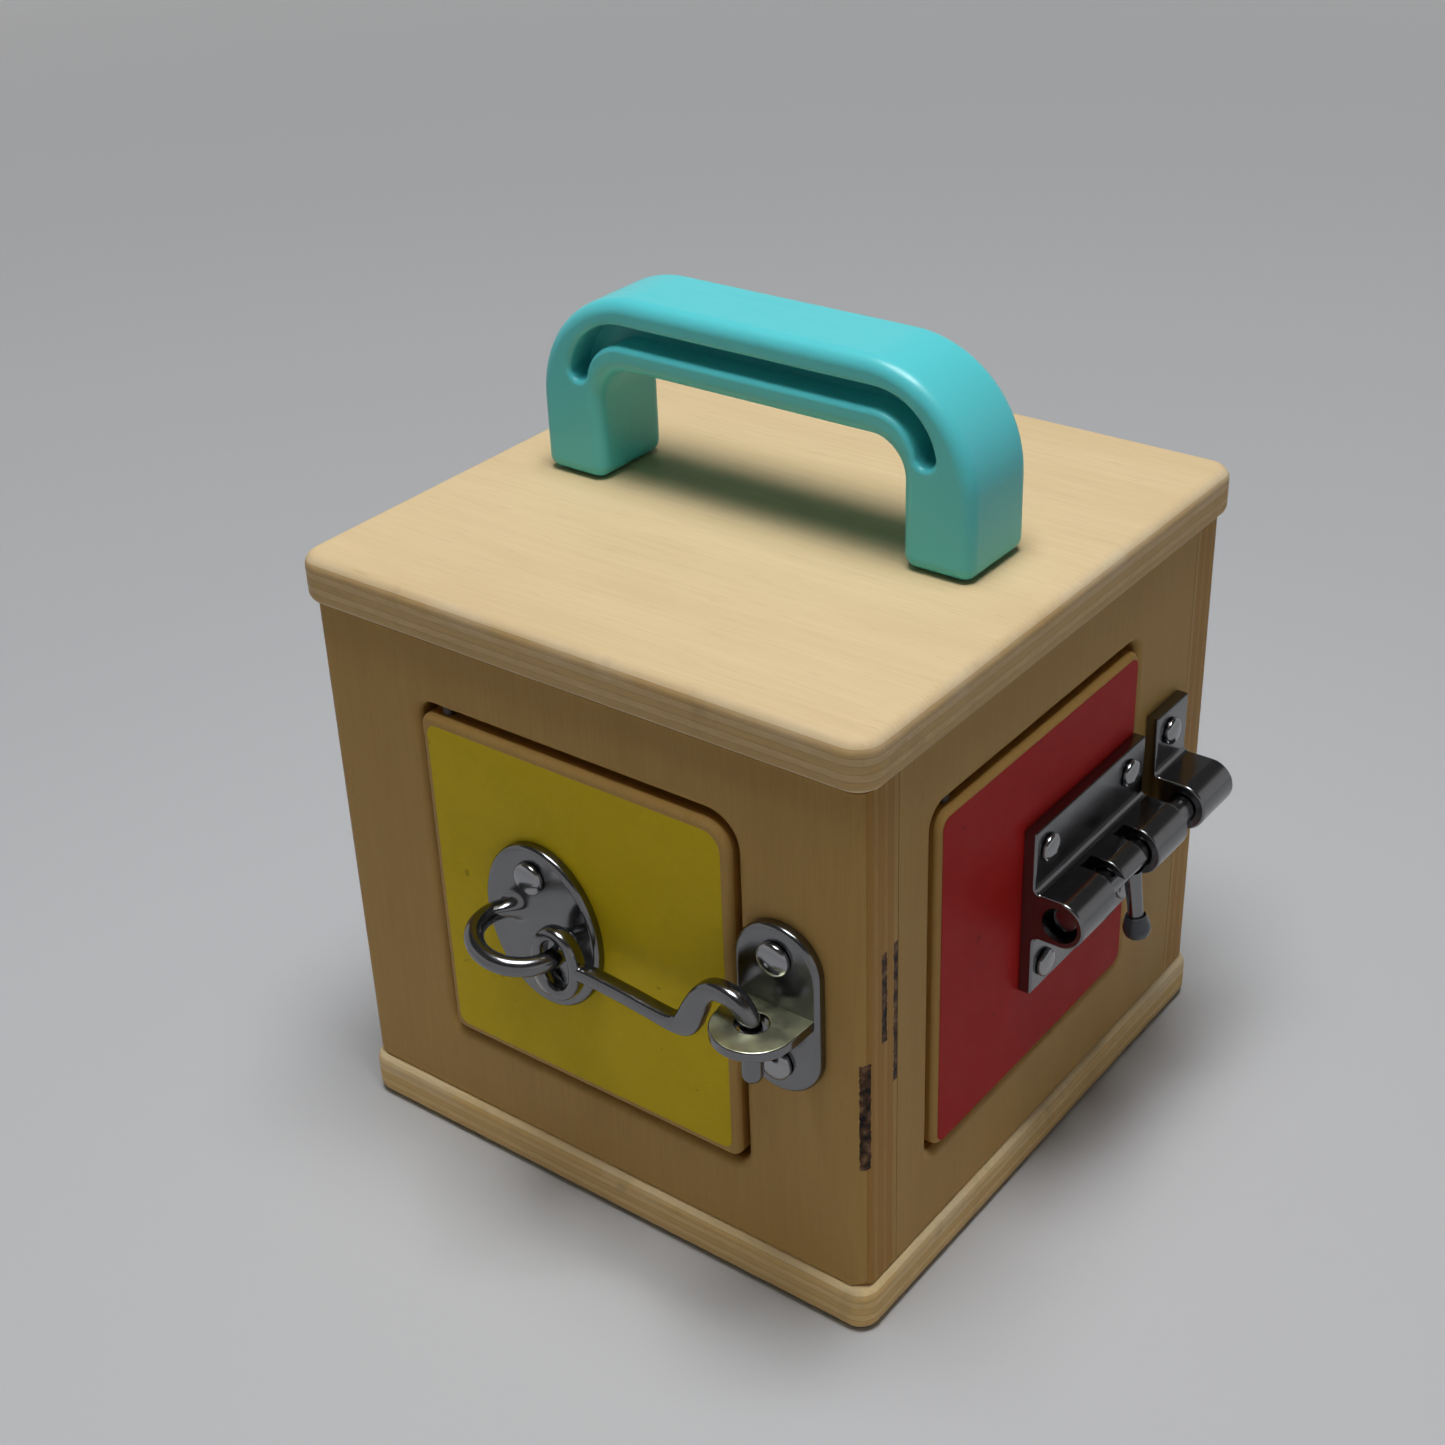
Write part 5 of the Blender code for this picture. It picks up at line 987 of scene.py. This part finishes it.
def shelf_plating_painted_sheen(name):
    """The same plating, with a thin top layer in the piece's own Z: painted highlight and painted reflection.
    """
    look = bright_metal(name, SHADED_PLATING, 0.15)
    tree = look.node_tree
    shader = tree.nodes["Principled BSDF"]
    local = own_place(tree)
    # Where the patches show on the top, the colour turns to painted highlight and painted reflection.
    pale_patch = maths(tree, "GREATER_THAN", step(tree, "SeparateXYZ", out=2, Vector=local), -SHEEN_DEPTH)
    pale_patch = maths(tree, "MULTIPLY", pale_patch, ramp(tree, noise(tree, local, *SHEEN_PATCHES), SHEEN_SHOW))
    bright = shader.inputs["Base Color"].links[0].from_socket
    smooth = shader.inputs["Roughness"].links[0].from_socket
    dulled = maths(tree, "ADD", smooth, maths(tree, "MULTIPLY", pale_patch, SHEEN_DULLNESS))
    feed(tree, shader, Base_Color=blend_colours(tree, pale_patch, bright, SHEEN_TONE), Roughness=dulled)
    return look


plate_front = FITTING_GAP + PLATE_THICKNESS
eye_mesh = round_ended_plate("eye_plate_casting", EYE_PLATE_HALF_WIDTH, EYE_PLATE_HALF_HEIGHT)
eye_place = side_frame["front"] @ Matrix.Translation((*EYE_PLATE_PLACE, 0))
put("eye_plate_casting", eye_mesh, plated, "box", eye_place, ["eye_plate"])
half = SHELF_WIDTH / 2
root = SHELF_IN_PLATE - plate_front
shelf_outline = arc(0, half - SHELF_REACH, half, HALF_TURN, TURN, 30) + [(half, root), (-half, root)]
shelf_hole = circle(SHELF_HOLE, SHELF_HOLE_SHIFT, -SHELF_HOLE_OUT)
shelf_mesh = slab("eye_shelf", [shelf_outline, shelf_hole], SHELF_THICKNESS, -SHELF_THICKNESS)
round_over(shelf_mesh, SHELF_EDGE_ROUND, lambda co: co.y < -plate_front, 5)
laid_level = Matrix.Rotation(-QUARTER, 4, "X")
shelf_place = side_frame["front"] @ Matrix.Translation((EYE_PLATE_PLACE[0], SHELF_TOP, 0)) @ laid_level
put("eye_shelf", shelf_mesh, shelf_plating_painted_sheen("shelf_plating_painted_sheen"), "box", shelf_place)


# BARREL BOLT AND KEEPER
# Plated castings on the red door and on the frame: a plate with a barrel standing proud of it, bored
# for the rod. A window and two notches in the bolt's barrel let the knob slide and drop.
BOLT_MIDDLE = 76.8 * MM
BOLT_PLATE_HEIGHT = 42.0 * MM
BOLT_PLATE_THICKNESS = 3.0 * MM
BOLT_ENDS = (-15.0 * MM, 34.0 * MM)
BOLT_EDGE_ROUND = 0.6 * MM
BOLT_FILLET = 1.5 * MM
RIM_ROUND = 0.35 * MM
BARREL_OUT = 10.5 * MM
BARREL_RADIUS = 5.8 * MM
BARREL_BORE = 3.7 * MM
BARREL_MOUTH = 4.3 * MM
BARREL_MOUTH_DEPTH = 6.0 * MM
BOLT_WINDOW = (0.0, 20.0 * MM)
BOLT_NOTCH = 5.0 * MM
BOLT_WINDOW_BACK = 6.8 * MM
BOLT_BRIDGE_UNDERSIDE = 2.6 * MM
KEEPER_ENDS = (42.0 * MM, 57.2 * MM)
OVERRUN = 4.0 * MM


def block(name, low, high):
    """A cutter with square corners, from its lowest to its highest corner."""
    corners = [(low[0], low[1]), (high[0], low[1]), (high[0], high[1]), (low[0], high[1])]
    return slab(name, [corners], high[2] - low[2], low[2])


def barrel_cylinder(name, radius, start, end):
    """A cylinder along u about the barrel's middle."""
    ring = circle(radius, 0, BARREL_OUT, 48)
    return loft(name, [[(u, v, w) for v, w in ring] for u in (start, end)])


def barrel_casting(name, back, start, end):
    """Plate and barrel in one: the cross-section in v and w, run along u from start to end."""
    half = BOLT_PLATE_HEIGHT / 2
    front = back + BOLT_PLATE_THICKNESS
    fillet = BARREL_RADIUS + BOLT_FILLET
    section = (
        [(-half, back), (half, back), (half, front)]
        + arc(fillet, front + BOLT_FILLET, BOLT_FILLET, 3 * QUARTER, HALF_TURN, 8)
        + arc(0, BARREL_OUT, BARREL_RADIUS, 0, HALF_TURN, 32)
        + arc(-fillet, front + BOLT_FILLET, BOLT_FILLET, 0, -QUARTER, 8)
        + [(-half, front)]
    )
    mesh = loft(name, [[(u, v, w) for v, w in section] for u in (start, end)])
    return round_over(mesh, BOLT_EDGE_ROUND, lambda co: co.z > back + FITTING_GAP, 4)


def window_cut(name, start, end, bottom, top):
    """A cut from the barrel's front to the back of the window."""
    return block(name, (start, bottom, BOLT_WINDOW_BACK), (end, top, BARREL_OUT + BARREL_RADIUS + OVERRUN))


window_start, window_end = BOLT_WINDOW
barrel_edge = BARREL_RADIUS + OVERRUN
bolt_mesh = barrel_casting("bolt_casting", door_face["right"] + FITTING_GAP, *BOLT_ENDS)
bolt_mesh = combine(bolt_mesh, [
    barrel_cylinder("bore", BARREL_BORE, BOLT_ENDS[0] - OVERRUN, BOLT_ENDS[1] + OVERRUN),
    barrel_cylinder("mouth", BARREL_MOUTH, BOLT_ENDS[0] - OVERRUN, BOLT_ENDS[0] + BARREL_MOUTH_DEPTH),
    window_cut("window", window_start, window_end, -barrel_edge, BOLT_BRIDGE_UNDERSIDE),
    window_cut("notch_open", window_start, window_start + BOLT_NOTCH, 0, barrel_edge),
    window_cut("notch_shut", window_end - BOLT_NOTCH, window_end, 0, barrel_edge),
])
rim = BOLT_WINDOW_BACK + RIM_ROUND
round_over(
    bolt_mesh, RIM_ROUND,
    lambda co: co.z > rim and window_start - RIM_ROUND < co.x < window_end + RIM_ROUND, 3,
)
closed_up(bolt_mesh)
bolt_place = side_frame["right"] @ Matrix.Translation((0, BOLT_MIDDLE, 0))
put("bolt_casting", bolt_mesh, plated, "red_door", bolt_place, ["bolt_plate"])
keeper_bore = barrel_cylinder("keeper_bore", BARREL_BORE, KEEPER_ENDS[0] - OVERRUN, KEEPER_ENDS[1] + OVERRUN)
keeper_mesh = combine(barrel_casting("keeper_casting", FITTING_GAP, *KEEPER_ENDS), [keeper_bore])
put("keeper_casting", keeper_mesh, plated, "box", bolt_place, ["bolt_keeper"])


# BOLT ROD AND KNOB
# A plated round rod with chamfered ends, and the pin that drops from it to a flared dark grip.
# The pin leans out a little from straight down.
ROD_RADIUS = 3.3 * MM
ROD_ENDS = (-12.5 * MM, 54.0 * MM)
ROD_CHAMFER = 0.8 * MM
CHAMFER_STEPS = 4
MIDDLE = 0.05 * MM
KNOB_U = 17.5 * MM
KNOB_LEAN = math.radians(8)
# Radius and distance from the rod's middle line, in mm, from the grip's end inwards.
KNOB_PROFILE = [
    (0.05, 20.8), (2.2, 20.8), (2.5, 20.7), (2.7, 20.45), (2.85, 20.1), (3.1, 19.5),
    (3.24, 18.9), (3.24, 18.4), (3.1, 17.7), (2.8, 16.6), (2.5, 15.6), (2.35, 15.3),
    (1.8, 15.2), (1.8, 13.0), (1.95, 8.0), (2.1, 3.7), (0.05, 3.7),
]
GRIP_START = 15.4 * MM
GRIP_DULLNESS = 0.20
GRIP_HAZE = (240, 3)
DARK_GRIP = (0.055, 0.060, 0.070)

rod_profile = [(MIDDLE, ROD_ENDS[1])]
for n in range(CHAMFER_STEPS + 1):
    angle = QUARTER * n / CHAMFER_STEPS
    radius = ROD_RADIUS - ROD_CHAMFER * (1 - math.sin(angle))
    rod_profile.append((radius, ROD_ENDS[1] - ROD_CHAMFER * (1 - math.cos(angle))))
rod_profile += [(x, ROD_ENDS[0] + ROD_ENDS[1] - z) for x, z in reversed(rod_profile)]
rod_place = bolt_place @ Matrix.Translation((0, 0, BARREL_OUT)) @ Matrix.Rotation(QUARTER, 4, "Y")
rod_mesh = turned("bolt_rod_turned", rod_profile, 48)
put("bolt_rod_turned", rod_mesh, plated, "bolt_rod", rod_place, ["bolt_rod"])

pin_turn = Matrix.Rotation(QUARTER - KNOB_LEAN, 4, "X")
pin_way = pin_turn.to_3x3() @ Vector((0, 0, 1))


def dipped_grip(name):
    """Plated pin whose far end is dark, smooth plastic."""
    look, tree, shader = start_look(name, 0.12, 1.0, SHADED_PLATING)
    local = own_place(tree)
    along = step(tree, "VectorMath", out=1, settings={"operation": "DOT_PRODUCT"}, in_0=local, in_1=pin_way)
    dark = maths(tree, "GREATER_THAN", along, GRIP_START)
    haze = maths(tree, "MULTIPLY", noise(tree, local, *GRIP_HAZE), DULLING)
    dulled = maths(tree, "ADD", haze, maths(tree, "MULTIPLY", dark, GRIP_DULLNESS))
    tone = blend_colours(tree, dark, SHADED_PLATING, DARK_GRIP)
    feed(tree, shader, Base_Color=tone, Metallic=maths(tree, "SUBTRACT", 1.0, dark), Roughness=dulled)
    return look


knob_mesh = turned("bolt_knob_turned", [(x * MM, z * MM) for x, z in KNOB_PROFILE])
knob_mesh.transform(pin_turn)
knob_place = bolt_place @ Matrix.Translation((KNOB_U, 0, BARREL_OUT))
put("bolt_knob_turned", knob_mesh, dipped_grip("knob_finish"), "bolt_knob", knob_place, ["bolt_knob"])


# HASP AND TURNING STAPLE
# On the green door: a pressed steel leaf and strap that share a rolled knuckle on a riveted pin. On
# the frame: a round-ended plate and a staple whose flat head turns across the strap's slot to hold it.
HASP_MIDDLE = 76.4 * MM
HASP_SHEET = 1.5 * MM
HASP_HALF_HEIGHT = 12.5 * MM
HASP_LEAF_START = 12.0 * MM
HASP_PIN_U = 34.5 * MM
HASP_PIN_OUT = 4.8 * MM
HASP_PIN_RADIUS = 1.4 * MM
HASP_KNUCKLE = 3.0 * MM
HASP_KNUCKLE_HALF = 4.25 * MM
HASP_GAP = 0.3 * MM
HASP_STRAP_LENGTH = 31.5 * MM
HASP_STRAP_HALF_HEIGHT = 11.0 * MM
HASP_CORNER = 3.0 * MM
HASP_SLOT_HALF_LENGTH = 7.5 * MM
HASP_SLOT_HALF_WIDTH = 3.5 * MM
SHEET_ROUND = 0.35 * MM
STAPLE_U = 56.5 * MM
STAPLE_HALF_WIDTH = 10.0 * MM
STAPLE_HALF_HEIGHT = 19.0 * MM
STAPLE_STEM = 1.8 * MM
STAPLE_HEAD_HALF = 5.75 * MM
STAPLE_HEAD_HEIGHT = 9.0 * MM
STAPLE_HEAD_THICKNESS = 3.6 * MM
STAPLE_HOLE = 2.2 * MM
STAPLE_HOLE_UP = 5.2 * MM


def upright_rod(name, radius, low, high, u=0.0, w=0.0):
    """A cylinder along v about the line at u and w."""
    ring = circle(radius, u, w)
    return loft(name, [[(a, v, b) for a, b in ring] for v in (low, high)])


back_place = side_frame["back"] @ Matrix.Translation((0, HASP_MIDDLE, 0))
leaf_back = door_face["back"] + FITTING_GAP
middle_knuckle = HASP_KNUCKLE_HALF + HASP_GAP
pin_bore = HASP_PIN_RADIUS + HASP_GAP
reach = HASP_KNUCKLE + HASP_GAP
leaf_outline = rounded_rectangle(
    HASP_LEAF_START, HASP_PIN_U, -HASP_HALF_HEIGHT, HASP_HALF_HEIGHT, (HASP_CORNER, 0, 0, HASP_CORNER)
)
leaf_mesh = round_over(
    slab("hasp_leaf_pressing", [leaf_outline], HASP_SHEET, leaf_back), SHEET_ROUND,
    lambda co: co.z > leaf_back + FITTING_GAP and co.x < HASP_PIN_U - HASP_KNUCKLE, 3,
)
knuckles = [
    upright_rod("leaf_knuckle", HASP_KNUCKLE, low, high, HASP_PIN_U, HASP_PIN_OUT)
    for low, high in ((-HASP_HALF_HEIGHT, -middle_knuckle), (middle_knuckle, HASP_HALF_HEIGHT))
]
for knuckle in knuckles:
    round_over(knuckle, SHEET_ROUND, steps=3)
strap_room = block(
    "strap_room", (HASP_PIN_U - reach - HASP_GAP, -middle_knuckle, 0),
    (HASP_PIN_U + reach, middle_knuckle, HASP_PIN_OUT + reach),
)
far_end = HASP_HALF_HEIGHT + OVERRUN
pin_hole = upright_rod("pin_hole", pin_bore, -far_end, far_end, HASP_PIN_U, HASP_PIN_OUT)
leaf_mesh = combine(combine(leaf_mesh, knuckles, "UNION"), [strap_room, pin_hole])
put("hasp_leaf_pressing", leaf_mesh, plated, "green_door", back_place, ["hasp_leaf"])
pin_ends = (-HASP_HALF_HEIGHT, HASP_HALF_HEIGHT)
pin_mesh = upright_rod("hasp_pin_rivet", HASP_PIN_RADIUS, *pin_ends, HASP_PIN_U, HASP_PIN_OUT)
round_over(pin_mesh, SHEET_ROUND, steps=4)
put("hasp_pin_rivet", pin_mesh, plated, "green_door", back_place, ["hasp_pin"])

strap_low = FITTING_GAP - HASP_KNUCKLE
strap_outline = rounded_rectangle(
    HASP_KNUCKLE / 2, HASP_STRAP_LENGTH, -HASP_STRAP_HALF_HEIGHT, HASP_STRAP_HALF_HEIGHT,
    (HASP_CORNER, 2 * HASP_CORNER, 2 * HASP_CORNER, HASP_CORNER),
)
slot_u = STAPLE_U - HASP_PIN_U
strap_slot = [(slot_u + u, v) for u, v in stadium(HASP_SLOT_HALF_WIDTH, HASP_SLOT_HALF_LENGTH, 12)]
strap_mesh = round_over(
    slab("hasp_strap_pressing", [strap_outline, strap_slot], HASP_SHEET, strap_low), SHEET_ROUND,
    lambda co: co.x > 2 * HASP_KNUCKLE, 3,
)
beside_knuckle = [
    block("beside_knuckle", (-OVERRUN, low, strap_low - OVERRUN), (reach, high, OVERRUN))
    for low, high in ((HASP_KNUCKLE_HALF, HASP_HALF_HEIGHT), (-HASP_HALF_HEIGHT, -HASP_KNUCKLE_HALF))
]
strap_knuckle = upright_rod("strap_knuckle", HASP_KNUCKLE, -HASP_KNUCKLE_HALF, HASP_KNUCKLE_HALF)
round_over(strap_knuckle, SHEET_ROUND, steps=3)
strap_mesh = combine(combine(strap_mesh, beside_knuckle), [strap_knuckle], "UNION")
pin_hole = upright_rod("pin_hole", pin_bore, *pin_ends)
strap_place = back_place @ Matrix.Translation((HASP_PIN_U, 0, HASP_PIN_OUT))
put("hasp_strap_pressing", combine(strap_mesh, [pin_hole]), plated, "hasp_strap", strap_place, ["hasp_strap"])

staple_place = back_place @ Matrix.Translation((STAPLE_U, 0, 0))
staple_outlines = [stadium(STAPLE_HALF_WIDTH, STAPLE_HALF_HEIGHT), circle(STAPLE_STEM + HASP_GAP, steps=24)]
plate_mesh = round_over(
    slab("staple_plate_pressing", staple_outlines, HASP_SHEET, FITTING_GAP), SHEET_ROUND,
    lambda co: co.z > HASP_SHEET and abs(co.y) > STAPLE_HOLE, 3,
)
put("staple_plate_pressing", plate_mesh, plated, "box", staple_place, ["staple_plate"])
head_low = HASP_PIN_OUT + strap_low + HASP_SHEET + HASP_GAP
head_outline = rounded_rectangle(
    -STAPLE_HEAD_HALF, STAPLE_HEAD_HALF, 0, STAPLE_HEAD_HEIGHT,
    (STAPLE_STEM / 2, STAPLE_STEM / 2, HASP_CORNER, HASP_CORNER),
)
head_hole = circle(STAPLE_HOLE, 0, STAPLE_HOLE_UP, 28)
head_mesh = round_over(
    slab("staple_head", [head_outline, head_hole], STAPLE_HEAD_THICKNESS, -STAPLE_HEAD_THICKNESS / 2),
    2 * SHEET_ROUND, steps=4,
)
head_mesh.transform(Matrix.Translation((0, 0, head_low)) @ Euler((QUARTER, 0, QUARTER)).to_matrix().to_4x4())
stem_top, stem_end = head_low + SHEET_ROUND, -3 * HASP_SHEET
stem_profile = [(MIDDLE, stem_top), (STAPLE_STEM, stem_top), (STAPLE_STEM, stem_end), (MIDDLE, stem_end)]
staple_mesh = combine(turned("turn_staple_forging", stem_profile, 28), [head_mesh], "UNION")
put("turn_staple_forging", staple_mesh, plated, "turn_staple", staple_place, ["turn_staple"])


# TURN BUTTON
# Beside the blue door: a small cast plate screwed to the frame, and an arm that turns on a rivet to
# lie across the door's edge, with a turned knob near its end to push it by.
BUTTON_PLACE = (48.5 * MM, 76.4 * MM)
BUTTON_HALF_WIDTH = 8.0 * MM
BUTTON_HALF_HEIGHT = 18.0 * MM
BUTTON_ARM_LONG = 24.0 * MM
BUTTON_ARM_SHORT = 9.0 * MM
BUTTON_ARM_HALF_WIDTH = 5.5 * MM
BUTTON_ARM_ROUND = 0.8 * MM
BUTTON_RIVET = 2.0 * MM
BUTTON_RIVET_HEAD = 4.0 * MM
BUTTON_RIVET_HEIGHT = 1.6 * MM
RIVET_STEPS = 8
BUTTON_KNOB_RADIUS = 3.0 * MM
BUTTON_KNOB_HEIGHT = 7.0 * MM
# Radius and height as shares of the knob's own, from its top down into the arm.
BUTTON_KNOB_PROFILE = [
    (0.62, 0.99), (0.86, 0.93), (0.98, 0.83), (1.0, 0.70),
    (0.92, 0.56), (0.74, 0.38), (0.6, 0.16), (0.6, -0.1),
]

button_place = side_frame["left"] @ Matrix.Translation((*BUTTON_PLACE, 0))
plate_mesh = round_ended_plate("button_plate_casting", BUTTON_HALF_WIDTH, BUTTON_HALF_HEIGHT)
put("button_plate_casting", plate_mesh, plated, "box", button_place, ["button_plate"])

arm_low, knob_top = (end.z for end in on_side("left", "button_arm"))
arm_high = knob_top - BUTTON_KNOB_HEIGHT
knob_up = BUTTON_ARM_LONG - BUTTON_ARM_HALF_WIDTH
foot_down = BUTTON_ARM_HALF_WIDTH - BUTTON_ARM_SHORT
arm_outline = (
    arc(0, knob_up, BUTTON_ARM_HALF_WIDTH, 0, HALF_TURN, 20)
    + arc(0, foot_down, BUTTON_ARM_HALF_WIDTH, HALF_TURN, TURN, 20)
)
rivet_hole = circle(BUTTON_RIVET + HASP_GAP, steps=28)
arm_mesh = slab("button_arm_casting", [arm_outline, rivet_hole], arm_high - arm_low, arm_low)
round_over(arm_mesh, BUTTON_ARM_ROUND, lambda co: math.hypot(co.x, co.y) > BUTTON_RIVET_HEAD, 4)
knob_profile = [(x * BUTTON_KNOB_RADIUS, z * BUTTON_KNOB_HEIGHT) for x, z in BUTTON_KNOB_PROFILE]
knob_profile = [(MIDDLE, BUTTON_KNOB_HEIGHT), *knob_profile, (MIDDLE, knob_profile[-1][1])]
knob_mesh = turned("button_knob", knob_profile)
knob_mesh.transform(Matrix.Translation((0, knob_up, arm_high)))
arm_mesh = combine(arm_mesh, [knob_mesh], "UNION")
put("button_arm_casting", arm_mesh, plated, "button_arm", button_place, ["button_arm"])

rivet_low = arm_high + FITTING_GAP
rivet_profile = [(MIDDLE, rivet_low + BUTTON_RIVET_HEIGHT)]
for n in range(1, RIVET_STEPS + 1):
    angle = QUARTER * n / RIVET_STEPS
    up = rivet_low + BUTTON_RIVET_HEIGHT * math.cos(angle)
    rivet_profile.append((BUTTON_RIVET_HEAD * math.sin(angle), up))
rivet_profile += [
    (BUTTON_RIVET, rivet_low), (BUTTON_RIVET, arm_low - FITTING_GAP),
    (BUTTON_RIVET_HEAD, arm_low - FITTING_GAP), (BUTTON_RIVET_HEAD, plate_front + FITTING_GAP),
    (BUTTON_RIVET, plate_front + FITTING_GAP), (BUTTON_RIVET, 2 * FITTING_GAP), (MIDDLE, 2 * FITTING_GAP),
]
rivet_mesh = turned("button_rivet_turned", rivet_profile)
put("button_rivet_turned", rivet_mesh, plated, "box", button_place, ["button_rivet"])


# FLOOR AND BACKDROP
# A pale round sheet of matt paper that lies flat under the box and curves up all round, so that it meets
# the background without a line. Its far parts glow for the camera and for mirrors, and light nothing.
SHEET_TONE = (0.56, 0.56, 0.57)
SHEET_HALF = 2.2
SHEET_RISE = 1.6
SHEET_BEND = 0.7
SHEET_STEPS = 16
FAR_GLOW = [(0.0, 0.0), (0.15, 0.0), (1.0, 0.40)]
CAMERA_RAY, GLOSSY_RAY, TRANSMISSION_RAY = 0, 3, 6

sheet_profile = [(SHEET_HALF * n / 6, 0) for n in range(1, 6)]
for n in range(SHEET_STEPS + 1):
    angle = QUARTER * n / SHEET_STEPS
    sheet_profile.append((SHEET_HALF + SHEET_BEND * math.sin(angle), SHEET_BEND * (1 - math.cos(angle))))
sheet_profile.append((SHEET_HALF + SHEET_BEND, SHEET_RISE))
sheet_rings = [[(u, v, up) for u, v in circle(reach, steps=64)] for reach, up in sheet_profile]
sheet_mesh = loft("backdrop", sheet_rings, lid=False)
sheet_look, tree, shader = start_look("backdrop_paper", 0.9, colour=SHEET_TONE)
far = step(tree, "VectorMath", out=1, settings={"operation": "LENGTH"}, in_0=own_place(tree))
seen = step(tree, "LightPath", out=CAMERA_RAY)
for ray in (GLOSSY_RAY, TRANSMISSION_RAY):
    seen = maths(tree, "MAXIMUM", seen, step(tree, "LightPath", out=ray))
glow = maths(tree, "MULTIPLY", seen, ramp(tree, maths(tree, "DIVIDE", far, SHEET_HALF), FAR_GLOW))
shader.inputs["Emission Color"].default_value = (1.0, 1.0, 1.0, 1)
feed(tree, shader, Emission_Strength=glow)
sheet_mesh.materials.append(sheet_look)
sheet_mesh.shade_smooth()
linked("backdrop", sheet_mesh)


# LIGHT
# A broad soft lamp straight overhead, two weak ones in front, and an even grey room.
# The overhead lamp makes the pale lid and the short soft shadow under it.
ROOM_TONE = 0.07
# For each lamp: its name, where it hangs, what it aims at, its size, its power and its tint.
LAMPS = [
    ("overhead", (0.07, -0.09, 1.25), (0.0, 0.0, 0.10), 0.50, 12.8, (0.98, 1.0, 1.015)),
    ("window", (-0.9, -1.0, 0.75), (0.0, 0.0, 0.08), 0.8, 0.15, (1.0, 0.96, 0.90)),
    ("fill", (1.2, -0.35, 0.55), (0.0, 0.0, 0.08), 0.7, 0.15, (1.0, 0.97, 0.94)),
]
for name, place, aim, size, power, tint in LAMPS:
    lamp = bpy.data.lights.new(name, "AREA")
    lamp.shape = "SQUARE"
    lamp.size = size
    lamp.energy = power
    lamp.color = tint
    holder = linked(name, lamp)
    holder.location = place
    holder.rotation_euler = (Vector(aim) - Vector(place)).to_track_quat("-Z", "Y").to_euler()
world = bpy.data.worlds.new("room")
world.use_nodes = True
world.node_tree.nodes["Background"].inputs["Color"].default_value = (ROOM_TONE, ROOM_TONE, ROOM_TONE, 1)
bpy.context.scene.world = world
bpy.context.scene.view_settings.view_transform = "Standard"


# CAMERA
# Stands over the near corner and looks down at the lid, the yellow door and the red door,
# with the lens and place of the photograph.
CAMERA_PLACE = (263.99 * MM, -358.99 * MM, 354.21 * MM)
CAMERA_AIM = (-11.093 * MM, -8.712 * MM, 93.773 * MM)
CAMERA_ROLL = math.radians(-2.318)
LENS_MM = 54.573
SENSOR_MM = 36.0
camera = bpy.data.cameras.new("camera")
camera.lens = LENS_MM
camera.sensor_width = SENSOR_MM
viewer = linked("camera", camera)
viewer.location = CAMERA_PLACE
aim = (Vector(CAMERA_AIM) - Vector(CAMERA_PLACE)).to_track_quat("-Z", "Y")
viewer.rotation_euler = (aim.to_matrix() @ Euler((0, 0, CAMERA_ROLL)).to_matrix()).to_euler()
bpy.context.scene.camera = viewer
